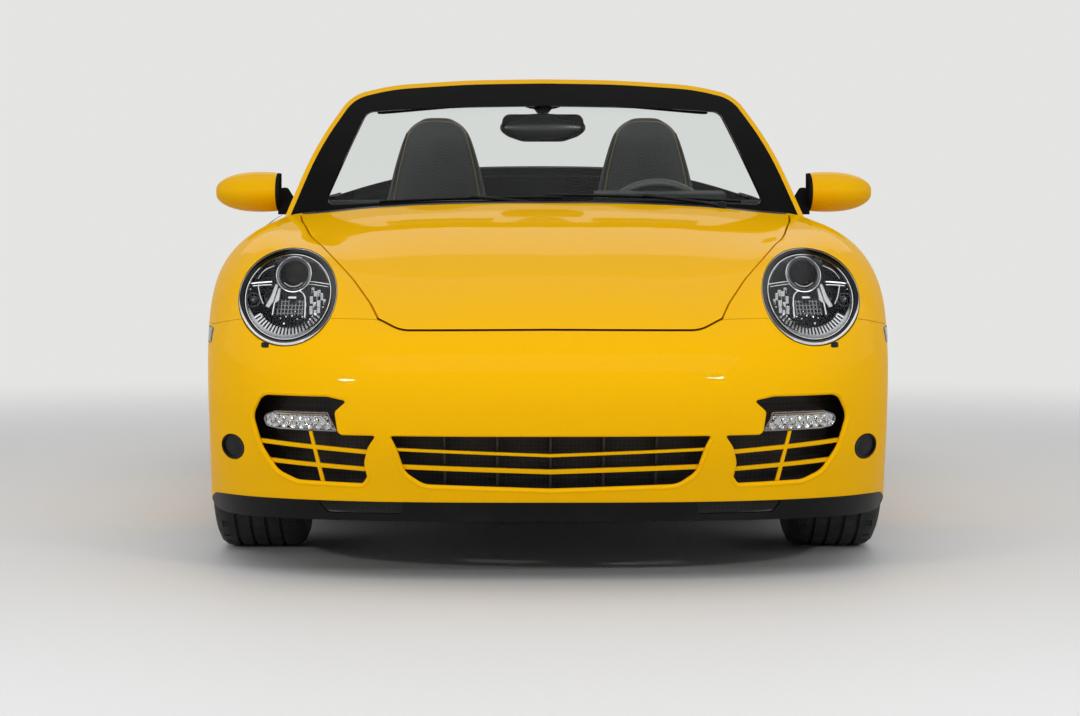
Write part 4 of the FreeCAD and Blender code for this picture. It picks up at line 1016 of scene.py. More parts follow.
def lower_part(y_at, start, end, edge):
    """Places a ring whose inner edge runs out into its outer one, so that only a sickle between two
    angles is left."""
    def place(x, z, depth):
        across, up = (x - LAMP_X) / LAMP_HALF[0], (z - LAMP_Z) / LAMP_HALF[1]
        share, angle = math.hypot(across, up), math.degrees(math.atan2(up, across))
        middle, half = (start + end) / 2, (end - start) / 2
        away = abs((angle - middle + 180) % 360 - 180)
        share = edge + (share - edge) * (0.02 + 0.98 * soft_step(0.0, 0.6, 1 - away / half))
        x = LAMP_X + share * LAMP_HALF[0] * math.cos(math.radians(angle))
        z = LAMP_Z + share * LAMP_HALF[1] * math.sin(math.radians(angle))
        return (x, y_at(x, z) + depth, z)
    return place


# Millimetres from the lamp's middle line and above the floor
STRUT_PLATES = ([(36, 708), (30, 701), (37, 664), (46, 650), (56, 653), (45, 676)],
                [(27, 698), (23, 693), (23, 668), (32, 660), (35, 667)])
LAMP_LINES = (([(80, 703), (75, 686), (69, 671), (61, 657)], 1.7),
              ([(82, 717), (74, 732), (62, 742), (46, 748)], 1.5),
              ([(-27, 688), (-37, 683), (-44, 664), (-46, 628)], 2.4),
              ([(46, 710), (70, 709), (96, 706)], 2.3), ([(46, 703), (70, 703), (92, 700)], 1.2),
              ([(-47, 711), (-70, 709), (-98, 705)], 1.6),
              ([(-45, 705), (-70, 703), (-96, 699)], 1.2), ([(34, 662), (35, 650), (36, 632)], 2.4),
              ([(-94, 716), (-84, 734), (-66, 750)], 1.3))
LAMP_STUDS = [(15, 625, 2.5), (2, 629, 3.0), (-13, 631, 3.2), (-27, 624, 2.6), (-39, 629, 2.8),
              (-58, 624, 2.8), (5, 613, 3.6), (63, 631, 3.4), (-20, 641, 2.4), (98, 692, 2.8),
              (-88, 652, 2.6)]
SIDE_FACETS = [(-58, 690, 4, 7), (-66, 678, 5, 11), (-74, 684, 4, 8), (-82, 676, 4, 9), (-57, 668, 4, 9),
               (-66, 656, 4, 8), (-76, 660, 5, 8), (-59, 645, 4, 10), (-70, 640, 4, 6), (-78, 645, 4, 7),
               (-90, 664, 3, 7)]
FACET_TURNS = (-28, 14, -10, 30, 4)
FLUTES = 128


class CAR_OT_headlamps(bpy.types.Operator):
    """Model the headlamps: gasket, bezel, bowl, projector, reflectors and clear cover"""
    bl_idname = "car.headlamps"
    bl_label = "Headlamps"

    def execute(self, context):
        y_at = fitted(ring_round((LAMP_X, LAMP_Z), LAMP_HALF), (LAMP_X, LAMP_Z))
        self.rings(y_at)
        self.flutes(y_at)
        self.projector(y_at(LAMP_X, PROJECTOR_Z + 0.045) + 0.006)
        self.reflectors(y_at)
        self.ribs_and_turn_lamp(y_at)
        cover = lamp_oval("cover", [(0.878, 0.004), (0.86, 0.0), (0.80, -0.0015), (0.7, -0.002),
                                    (0.5, -0.002), (0.25, -0.002), (0.0, -0.002)], on_front(y_at), dome=0.004)
        lamp_pair(walled(cover, 0.002), "cover", "lamp_cover")
        return {"FINISHED"}

    def rings(self, y_at):
        place = on_front(y_at)
        gasket = lamp_oval("gasket", [(0.995, 0.012), (0.995, 0.0005), (0.975, -0.003), (0.945, -0.0035),
                                      (0.905, -0.001), (0.880, 0.006), (0.874, 0.016)], place)
        lamp_pair(walled(gasket, 0.0015), "gasket", "gloss_black")

        # Painted reflection: a satin silver sickle on the lower part of the rim only, where the rounded black
        # rim would mirror the lights above.
        sickle = lamp_oval("sickle", [(0.985, -0.0035), (0.970, -0.0062), (0.950, -0.0062), (0.932, -0.0035)],
                           lower_part(y_at, -158, 12, 0.985), 120)
        lamp_pair(walled(sickle, 0.0008), "edge", "satin_silver")

        bezel = lamp_oval("bezel", [(0.876, 0.005), (0.868, 0.0005), (0.856, 0.0005), (0.846, 0.006),
                                    (0.846, 0.030)], place)
        lamp_pair(walled(bezel, 0.001), "bezel", "chrome")

        def sunk(x, z, share):
            front = min(y_at(x, z) + 0.016, LAMP_BACK)
            return (x, front + (LAMP_BACK - front) * share, z)
        bowl = lamp_oval("bowl", [(0.93, 0.0), (0.846, 0.05), (0.80, 0.45), (0.72, 0.75), (0.60, 0.93),
                                  (0.42, 1.0), (0.0, 1.0)], sunk)
        lamp_pair(bowl, "bowl", "bowl_black", 20, ["headlamp_*"])

        band = lamp_oval("band", [(0.845, 0.012), (0.825, 0.0165), (0.785, 0.021)],
                         lower_part(y_at, -150, 5, 0.845), 120)
        lamp_pair(walled(band, 0.0008), "band", "satin_silver")

    def flutes(self, y_at):
        """The fluted sickle in the lower half of the bowl, with every second flute left out."""
        flutes = turned("flutes", [(0.790, 0.020), (0.700, 0.028), (0.655, 0.034)], axis="Z", segments=FLUTES)

        def left_out(face):
            place = face.calc_center_median()
            angle = math.degrees(math.atan2(place.y, place.x))
            return not -148 < angle < -32 or int((angle + 360) / 360 * FLUTES) % 2 == 0
        with editing(flutes):
            pick(flutes, left_out)
            bpy.ops.mesh.delete(type="FACE")
        place = on_front(y_at)
        for v in flutes.data.vertices:
            v.co = place(LAMP_X + v.co.x * LAMP_HALF[0], LAMP_Z + v.co.y * LAMP_HALF[1], v.co.z)
        lamp_pair(walled(flutes, 0.0016, 0), "flutes", "chrome", angle=20)

    def projector(self, top_front):
        """The projector leans back with the cover over it, so its parts are slid back as they rise."""
        place = (LAMP_X - 0.003, top_front - 0.045 * COVER_LEAN, PROJECTOR_Z - 0.002)

        def leaned(obj):
            for v in obj.data.vertices:
                v.co.y += COVER_LEAN * (v.co.z - place[2])
            return obj

        barrel = turned("barrel", [(0.0450, 0.030), (0.0450, 0.012), (0.0445, 0.004), (0.0425, 0.0),
                                   (0.0405, 0.0005), (0.0398, 0.005), (0.0375, 0.005), (0.0370, 0.001),
                                   (0.0355, 0.001), (0.0345, 0.012)], place, "Y", 72)
        lamp_pair(leaned(barrel), "projector_ring", "dark_chrome")
        bright = turned("bright", [(0.0447, 0.004), (0.0436, -0.0012), (0.0420, -0.0016), (0.0408, 0.0004)],
                        place, "Y", 72)
        inner = turned("inner", [(0.0372, 0.002), (0.0366, -0.0004), (0.0358, 0.0012)], place, "Y", 72)
        rings = walled(united("rings", bright, inner), 0.0006)
        lamp_pair(leaned(rings), "projector_rim", "chrome")
        core = turned("core", [(0.0350, 0.010), (0.0335, 0.006), (0.0328, 0.012), (0.0328, 0.03),
                               (0.0, 0.034)], place, "Y", 64)
        lamp_pair(leaned(core), "projector_core", "gloss_black")
        # Painted highlight: a thin satin silver arc in the lower part of the lens, where the lens would
        # reflect the ring round it.
        arc = [(place[0] + 0.0300 * math.sin(math.radians(a)), place[1] + 0.0005,
                place[2] - 0.0300 * math.cos(math.radians(a))) for a in range(-48, 52, 6)]
        lamp_pair(leaned(tube("painted_highlight_arc", arc, 0.0009, sides=2)), "projector_painted_highlight", "satin_silver")
        ball = turned("ball", [(0.0334, 0.014), (0.0322, 0.006), (0.027, -0.003), (0.019, -0.0095),
                               (0.009, -0.0125), (0.0, -0.0132)], (place[0], place[1] + 0.008, place[2]),
                      "Y", 64)
        lamp_pair(leaned(walled(ball, 0.0015)), "projector_lens", "dark_glass")

    @staticmethod
    def slanted(obj, y_at, depth):
        """Slides a piece that is modelled at y = 0 back to the cover's slant, point by point."""
        for v in obj.data.vertices:
            v.co.y += y_at(v.co.x, v.co.z) + depth
        return obj

    def reflectors(self, y_at):
        def at(dx, z, depth):
            x = LAMP_X + dx / 1000
            return (x, y_at(x, z / 1000) + depth, z / 1000)

        chrome = [tube("line", [at(dx, z, 0.020) for dx, z in points], radius / 1000)
                  for points, radius in LAMP_LINES]
        struts = []
        for corners in STRUT_PLATES:
            outline = rounded([(LAMP_X + dx / 1000, z / 1000, 0.002) for dx, z in corners], 3)
            struts.append(self.slanted(outlined("strut", outline, from_front(0), 0.014, 0.0016), y_at, 0.026))
        lamp_pair(united("struts", *struts), "struts", "satin_silver", angle=30)
        step = block("step", (LAMP_X - 0.019, -0.008, 0.6715), (LAMP_X + 0.001, 0.008, 0.6765), 0.001, 2)
        chrome.append(self.slanted(step, y_at, 0.026))
        for dx, z, radius in LAMP_STUDS:
            r = radius / 1000
            chrome.append(turned("stud", [(r, 0.004), (r * 0.92, 0.0015), (r * 0.6, -0.0004), (0.0, -0.0012)],
                                 at(dx, z, 0.028), "Y", 16))
        for number, (dx, z, half_x, half_z) in enumerate(SIDE_FACETS):
            corner = (half_x / 1000, 0.001, half_z / 1000)
            facet = block("facet", [-c for c in corner], corner, 0.0006, 1)
            turn = Matrix.Rotation(math.radians(FACET_TURNS[number % len(FACET_TURNS)]), 4, "Z")
            facet.data.transform(Matrix.Translation(at(dx, z, 0.030)) @ turn)
            chrome.append(facet)
        lamp_pair(united("bright", *chrome), "brightwork", "chrome", angle=30)

    def ribs_and_turn_lamp(self, y_at):
        ribs = []
        for i in range(8):
            x = LAMP_X - 0.036 + i * 0.0088
            ribs.append(block("rib", (x - 0.0013, -0.008, 0.632), (x + 0.0013, 0.008, 0.668), 0.0005, 1))
        for i in range(4):
            z = 0.637 + i * 0.009
            ribs.append(block("rib", (LAMP_X - 0.040, -0.004, z - 0.001), (LAMP_X + 0.031, 0.004, z + 0.001),
                              0.0004, 1))
        grid = united("ribs", *[self.slanted(rib, y_at, 0.042) for rib in ribs])
        filed_pair(grid, "headlamp_ribs", "chassis", "dark_chrome")

        place = (LAMP_X + 0.087, y_at(LAMP_X + 0.087, 0.668) + 0.026, 0.668)
        turn = turned("turn", [(0.0165, -0.001), (0.0155, -0.001), (0.014, 0.006), (0.008, 0.014),
                               (0.0, 0.016)], place, "Y", 40)
        bulb = turned("bulb", [(0.0045, 0.014), (0.0045, 0.0), (0.003, -0.003), (0.0, -0.004)], place, "Y",
                      20)
        lamp_pair(united("turn", turn, bulb), "turn_reflector", "dark_chrome", angle=25)


# Front end

CENTRE_HALF = [(0.384, 0.366, 0.010), (0.366, 0.330, 0.1), (0.346, 0.268, 0.05), (0.300, 0.236, 0.06)]
CENTRE_OPENING = CENTRE_HALF + [(0.0, 0.226)] + [(-x, z, r) for x, z, r in reversed(CENTRE_HALF)]
OUTER_OPENING = [(0.492, 0.366, 0.008), (0.498, 0.412, 0.006), (0.462, 0.444, 0.010), (0.520, 0.456, 0.06),
                 (0.684, 0.456, 0.034), (0.712, 0.400, 0.05), (0.690, 0.322, 0.09), (0.650, 0.262, 0.06),
                 (0.600, 0.240, 0.06), (0.438, 0.236, 0.016), (0.424, 0.258, 0.012), (0.431, 0.292, 0.04),
                 (0.422, 0.328, 0.04), (0.396, 0.366, 0.010)]
DAYTIME_LAMP = [(0.501, 0.368, 0.002), (0.523, 0.411, 0.003), (0.647, 0.411, 0.010), (0.681, 0.398, 0.014),
                (0.671, 0.375, 0.010), (0.640, 0.370, 0.02)]
DAYTIME_CENTRE = (0.590, 0.391)
DAYTIME_HALF = (0.094, 0.024)
DIAMOND_PITCH = 0.021
LIP_RADIUS = 0.0065


def opening_surface(points, centre, degree):
    spread = []
    for share in (1.05, 1.12):
        spread += [(centre[0] + (p[0] - centre[0]) * share, centre[1] + (p[1] - centre[1]) * share)
                   for p in closer([q[:2] for q in points], 0.02)]
    return fitted(spread, centre, degree=degree)


def opening_lip(name, points, y_at):
    """The rounded edge of an opening in the bumper."""
    line = [(x, y_at(x, z) + LIP_RADIUS * 0.93, z) for x, z in closer(rounded(points, 7), 0.016)]
    return smooth(tube(name, line, LIP_RADIUS, closed=True, kind="POLY", sides=4), 60)


def diamonds(x, z):
    """The depth of the daytime lamp's facets, with fine ribs at its outer end."""
    if x > 0.655:
        return 0.0015 * math.sin((x - 0.655) * 900)
    one = abs((x + z) / DIAMOND_PITCH % 1 - 0.5)
    other = abs((x - z) / DIAMOND_PITCH % 1 - 0.5)
    return 0.014 * (one + other) - 0.007 + (0.012 if z > 0.404 else 0.0)


class CAR_OT_front_end(bpy.types.Operator):
    """Model the bumper's details: rounded lips, daytime lamps, caps, side lamps and washer nozzles"""
    bl_idname = "car.front_end"
    bl_label = "Front end"

    def execute(self, context):
        outer_y = opening_surface(OUTER_OPENING, (0.565, 0.345), 3)
        centre_y = opening_surface(CENTRE_OPENING, (0.0, 0.30), 4)
        filed_pair(opening_lip("lip", OUTER_OPENING, outer_y), "outer_opening_lip", "chassis",
                   "bumper_paint")
        filed(opening_lip("centre_opening_lip", CENTRE_OPENING, centre_y), "chassis",
              "bumper_paint")
        self.daytime_lamps(outer_y)

        cap = skin_oval("cap", [(0.97, 0.020), (0.97, 0.004), (0.93, 0.0025), (0.88, 0.004), (0.84, 0.010),
                                (0.6, 0.009), (0.3, 0.0075), (0.0, 0.007)], (0.764, 0.316), (0.031, 0.031),
                        reach=(0.032, 0.032), share=1.12)
        filed_pair(smooth(cap), "bumper_cap", "chassis", "black_plastic")

        marker = {"centre": (-1.742, 0.579), "half": (0.062, 0.019), "view": "left", "segments": 80,
                  "power": 6}
        rim = skin_oval("rim", [(1.04, 0.004), (1.04, -0.0008), (0.99, -0.0012), (0.95, 0.001)], **marker)
        filed_pair(smooth(rim), "side_lamp_rim", "chassis", "black_plastic")
        lens = skin_oval("lens", [(0.96, 0.003), (0.95, 0.0002), (0.9, -0.0012), (0.5, -0.002),
                                  (0.0, -0.0022)], **marker)
        filed_pair(smooth(lens), "side_lamp_lens", "chassis", "smoked_lens")

        nozzle = skin_oval("nozzle", [(1.0, 0.004), (1.0, -0.0006), (0.9, -0.0016), (0.0, -0.0022)],
                           (0.676, 0.566), (0.010, 0.0065), reach=(0.016, 0.01), segments=32, power=4)
        filed_pair(smooth(nozzle), "washer_nozzle", "chassis", "gloss_black")

        seam = skin_oval("tow_cover_seam", [(1.0, -0.0002), (0.955, -0.0003)], (-0.288, 0.431),
                         (0.0215, 0.0215), reach=(0.022, 0.022), share=1.4)
        filed(walled(seam, 0.0006), "chassis", "black_plastic")
        return {"FINISHED"}

    def daytime_lamps(self, y_at):
        place = on_front(y_at)
        outline = rounded(DAYTIME_LAMP)

        def slab(name, depth, facet, columns, rows):
            deselect()
            bpy.ops.mesh.primitive_grid_add(x_subdivisions=columns, y_subdivisions=rows, size=2)
            obj = bpy.context.object
            for v in obj.data.vertices:
                x = DAYTIME_CENTRE[0] + v.co.x * DAYTIME_HALF[0]
                z = DAYTIME_CENTRE[1] + v.co.y * DAYTIME_HALF[1]
                v.co = place(x, z, depth + facet(x, z))
            walled(obj, 0.0015)
            obj.name = name
            return cut_to(cleaned(obj), outline, from_front(-1.9))

        filed_pair(smooth(slab("facets", 0.034, diamonds, 150, 40), 12), "daytime_reflector", "chassis",
                   "chrome", ["daytime_lamp_*"])
        rim = tube("frame", [place(x, z, 0.0185) for x, z in closer(outline, 0.006)], 0.0022, closed=True,
                   kind="POLY", sides=2)
        filed_pair(smooth(rim), "daytime_frame", "chassis", "dark_chrome")
        band = tube("band", [place(x, 0.4055, 0.020) for x in np.linspace(0.524, 0.648, 14)], 0.0032,
                    kind="POLY")
        filed_pair(smooth(band), "daytime_band", "chassis", "bronze_chrome")
        cover = slab("cover", 0.0165, lambda x, z: 0.0, 40, 14)
        filed_pair(smooth(cover), "daytime_cover", "chassis", "lamp_cover")


# Windscreen and mirrors

WIPERS = ((-0.47, 0.05, 0.02, 0.004), (0.0, 0.56, 0.50, 0.010))
WIPER_Z = 0.921
DOOR_GLASS_Z = 0.942
MIRROR_MARKS = [(0.775, 0.047), (0.812, 0.0505), (0.862, 0.0495), (0.904, 0.042), (0.936, 0.029),
                (0.948, 0.016)]


def visor_form(u, v, w):
    bulge = 0.011 * v * (1 - 0.6 * max(abs(u), abs(w)) ** 6)
    height = 0.032 * w * (1 - 0.12 * u ** 4) - 0.004 * abs(u) ** 3
    return (0.331 + 0.169 * u * (1 - 0.06 * w), -0.128 + bulge - 0.05 * w, 1.231 - 0.015 * u + height)


def mirror_base_form(u, v, w):
    return (u * (0.078 + 0.022 * w), -0.150 + 0.016 * v - 0.03 * w,
            1.222 + 0.024 * w * (1 - 0.35 * abs(u) ** 3))


def mirror_shell_form(u, v, w):
    return (0.131 * u * math.sqrt(1 - (0.46 - 0.03 * w) * w * w),
            -0.150 + 0.020 * v + 0.016 * (v < 0) * (u * u + w * w),
            1.1415 + 0.0430 * w * math.sqrt(1 - 0.49 * u * u))


def mirror_foot_form(u, v, w):
    return (0.026 * u * (1 + 0.6 * w), -0.158 + 0.014 * v - 0.03 * w, 1.196 + 0.018 * w)


class CAR_OT_screen(bpy.types.Operator):
    """Model the wipers, sun visors, interior mirror and the glass of the door mirrors"""
    bl_idname = "car.screen"
    bl_label = "Windscreen and mirrors"

    def execute(self, context):
        for number, (low, high, pivot, lift) in enumerate(WIPERS):
            self.wiper("wiper_%d" % (number + 1), low, high, pivot, lift)

        visor = smooth(subdivided(moulded_form("visor", 9, visor_form)))
        filed_pair(visor, "sun_visor", "chassis", "soft_black")
        base = smooth(subdivided(moulded_form("mirror_base", 7, mirror_base_form)))
        filed(base, "chassis", "soft_black")
        shell = moulded_form("mirror_shell", 11, mirror_shell_form)
        shell = subdivided(united("mirror_shell", shell, moulded_form("foot", 5, mirror_foot_form)))
        filed(smooth(shell, 60), "chassis", "mirror_plastic")
        pane = laid_oval("mirror_pane", [(1.0, 0.0), (0.99, 0.0012), (0.5, 0.0014), (0.0, 0.0014)],
                         (0.0, 1.1415), (0.119, 0.035), lambda x, z, d: (x, -0.1305 + d, z), 64, power=2.6)
        filed(pane, "chassis", "chrome")

        edge = [(x, DOOR_GLASS_Z + h) for x, h in MIRROR_MARKS]
        edge = closer(edge + [(x, DOOR_GLASS_Z - h) for x, h in reversed(MIRROR_MARKS)], 0.006)
        glass = outlined("glass", edge, from_front(-0.5022), 0.002, 0.0006)
        filed_pair(glass, "door_mirror_glass", "door_*", "chrome")
        border = outlined("surround", edge, from_front(-0.5026), 0.0008)
        middle = Matrix.Translation((0.862, 0, DOOR_GLASS_Z))
        border.data.transform(middle @ Matrix.Diagonal((1.07, 1, 1.10, 1)) @ middle.inverted())
        filed_pair(border, "door_mirror_surround", "door_*", "black_plastic")
        return {"FINISHED"}

    def wiper(self, name, low, high, pivot, lift):
        line = []
        for k in range(15):
            x = low + (high - low) * k / 14
            z = WIPER_Z + lift - 0.020 * (x / 0.6) ** 2
            line.append((x, front_y(x, z, SCREEN) - 0.010, z))
        blade = tube("blade", line, 0.0035, kind="POLY", sides=2)
        rubber = tube("rubber", [(x, y + 0.006, z - 0.003) for x, y, z in line], 0.0022, kind="POLY", sides=1)
        x, y, z = line[7]
        arm = tube("arm", [(pivot, y - 0.045, 0.897), (pivot * 0.8 + x * 0.2, y - 0.026, 0.911),
                           (x, y - 0.006, z + 0.003)], 0.0050)
        knob = turned("knob", [(0.013, 0.03), (0.013, 0.004), (0.010, 0.0), (0.0, -0.001)],
                      (pivot, y - 0.042, 0.912), "-Z", 32)
        filed(smooth(united(name, blade, rubber, arm, knob), 40), "chassis", "black_plastic")


# Seats


def y_of(station):
    return station / 1000 - 2.225


SEAT_X = 0.338
BACK_LOW = 0.27
BACK_HEIGHT = 0.920
HALF_WIDTHS = [(0.27, 0.205), (0.45, 0.228), (0.68, 0.226), (0.80, 0.204), (0.93, 0.160), (1.02, 0.142),
               (1.08, 0.125), (1.12, 0.113), (1.15, 0.101), (1.17, 0.087), (1.183, 0.070), (1.19, 0.054)]
BACK_FRONT = [(0.27, y_of(2408)), (0.45, y_of(2436)), (0.60, y_of(2464)), (0.90, y_of(2520)),
              (1.02, y_of(2545)), (1.19, y_of(2572))]
BOLSTERS = [(0.30, 0.0), (0.40, 0.040), (0.72, 0.048), (0.86, 0.016), (0.94, 0.0)]
CUSHION_LINE = [(0.0, 0.392), (0.1, 0.412), (0.5, 0.388), (1.0, 0.345)]
CUSHION_FRONT = y_of(1948)
CUSHION_LENGTH = 0.50
CUSHION_HALF = 0.228
REAR_SEAT_X = 0.345
REAR_SEAT_HALF = 0.205


def back_width(z):
    return between_marks(HALF_WIDTHS, z)


def back_front(u, z):
    """How far forward the backrest's front lies, at a share u of its half width."""
    ridge = between_marks(BOLSTERS, z) * soft_step(0.50, 0.80, abs(u))
    return between_marks(BACK_FRONT, z) - ridge + 0.030 * abs(u) ** 8


def back_form(u, v, w):
    share = 1 - ((1 - w) / 2) ** 1.7
    z = BACK_LOW + share * BACK_HEIGHT
    thick = (0.112 - 0.028 * share) * (1 - 0.55 * abs(u) ** 5)
    crown = 0.014 * max(share - 0.93, 0) / 0.07
    y = back_front(u, z) + (v + 1) / 2 * thick + crown * (1 - v)
    return (SEAT_X + u * back_width(z), y, z - 0.008 * u ** 4 * share)


def cushion_top(u, along):
    ridge = 0.030 * soft_step(0.55, 0.82, abs(u)) * (1 - 0.4 * along)
    return between_marks(CUSHION_LINE, along) + ridge - 0.028 * abs(u) ** 10 - 0.05 * (1 - along) ** 12


def cushion_form(u, v, w):
    share = (v + 1) / 2
    bottom = 0.236 + 0.020 * abs(u) ** 6
    top = cushion_top(u, share)
    return (SEAT_X + u * (CUSHION_HALF - 0.008 * share), CUSHION_FRONT + share * CUSHION_LENGTH,
            bottom + (w + 1) / 2 * (top - bottom))


def back_insert_form(u, v, w):
    z = 0.625 + 0.225 * w
    share = 0.50 * u * (1 - 0.06 * w)
    crown = 0.010 * (1 - u ** 4) * (1 - w ** 4)
    return (SEAT_X + share * back_width(z), back_front(0, z) + 0.012 * v - 0.008 - crown * (v < 0), z)


def cushion_insert_form(u, v, w):
    share = 0.52 + 0.44 * v
    crown = 0.010 * (1 - u ** 4) * (1 - v ** 4)
    return (SEAT_X + 0.50 * u * CUSHION_HALF, CUSHION_FRONT + share * CUSHION_LENGTH,
            cushion_top(0, share) + 0.012 * w + 0.008 + crown * (w > 0))


def rear_backrest_form(u, v, w):
    return (REAR_SEAT_X + REAR_SEAT_HALF * u * (1 - 0.05 * w),
            y_of(2835) + 0.024 * v * (1 - 0.4 * abs(u) ** 6) - 0.020 * (1 - w) / 2,
            0.635 + 0.240 * w * (1 - 0.04 * abs(u) ** 4))


def rear_squab_form(u, v, w):
    return (REAR_SEAT_X + REAR_SEAT_HALF * u, y_of(2742) + 0.066 * v,
            0.350 + 0.052 * w * (1 - 0.25 * abs(v) ** 4) - 0.012 * v)


def padded_pair(obj, name, replaces=()):
    for piece in filed_pair(obj, name, "chassis", "leather", replaces):
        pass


class CAR_OT_seats(bpy.types.Operator):
    """Model the leather seats: padded inserts, bolsters, head part and rows of stitches"""
    bl_idname = "car.seats"
    bl_label = "Seats"

    def execute(self, context):
        for name, cuts, form, replaces in (("seat_back", 22, back_form, ["front_seat_*"]),
                                           ("seat_cushion", 18, cushion_form, [])):
            pad = subdivided(apply(moulded_form(name, cuts, form), "SMOOTH", factor=0.5, iterations=3))
            padded_pair(smooth(pad, 60), name, replaces)
        for name, form in (("seat_back_insert", back_insert_form),
                           ("seat_cushion_insert", cushion_insert_form)):
            padded_pair(swollen(moulded_form(name, 14, form), 0.007), name)
        self.threads()
        for name, form, replaces in (("rear_backrest", rear_backrest_form, ["rear_seats"]),
                                     ("rear_squab", rear_squab_form, [])):
            padded_pair(swollen(moulded_form(name, 12, form), 0.006), name, replaces)
        return {"FINISHED"}

    def threads(self):
        def on_back(u, z, depth):
            return (SEAT_X + u * back_width(z), back_front(u, z) + depth, z)

        threads = [stitches("edge", [on_back(u, z, -0.0015) for z in np.linspace(0.66, 1.15, 30)])
                   for u in (-0.86, 0.86)]
        top = [(SEAT_X + u * back_width(1.150), back_front(0.86, 1.15) + 0.004 - 0.0035 * (1 - u * u),
                1.150 + 0.028 * (1 - abs(u / 0.86) ** 3.2)) for u in np.linspace(-0.86, 0.86, 22)]
        threads.append(stitches("top", top))
        for u in (-0.60, 0.60):
            line = [(SEAT_X + u * 0.226, CUSHION_FRONT + v * CUSHION_LENGTH, cushion_top(u, v) + 0.0015)
                    for v in np.linspace(0.08, 0.95, 24)]
            threads.append(stitches("front", line))
        filed_pair(united("threads", *threads), "seat_stitching", "chassis", "thread")

        for name, u in (("seat_piping_inner", -0.93), ("seat_piping_outer", 0.93)):
            line = [on_back(u, z, 0.002) for z in np.linspace(0.32, 1.14, 34)]
            filed_pair(smooth(tube("piping", line, 0.0026, kind="POLY", sides=2)), name, "chassis",
                       "leather")


# Wheels

AXLES = (("front", 0.745, -1.29, 0.3235, 0.241, 0.232), ("rear", 0.770, 1.06, 0.333, 0.241, 0.280))
SPOKES = 10
SPOKE_HALF = 0.0155
HUB_RADIUS = 0.045
BOLT_CIRCLE = 0.055
DISC_RADIUS = 0.172
TREAD_STEPS = 144
GROOVES = 4


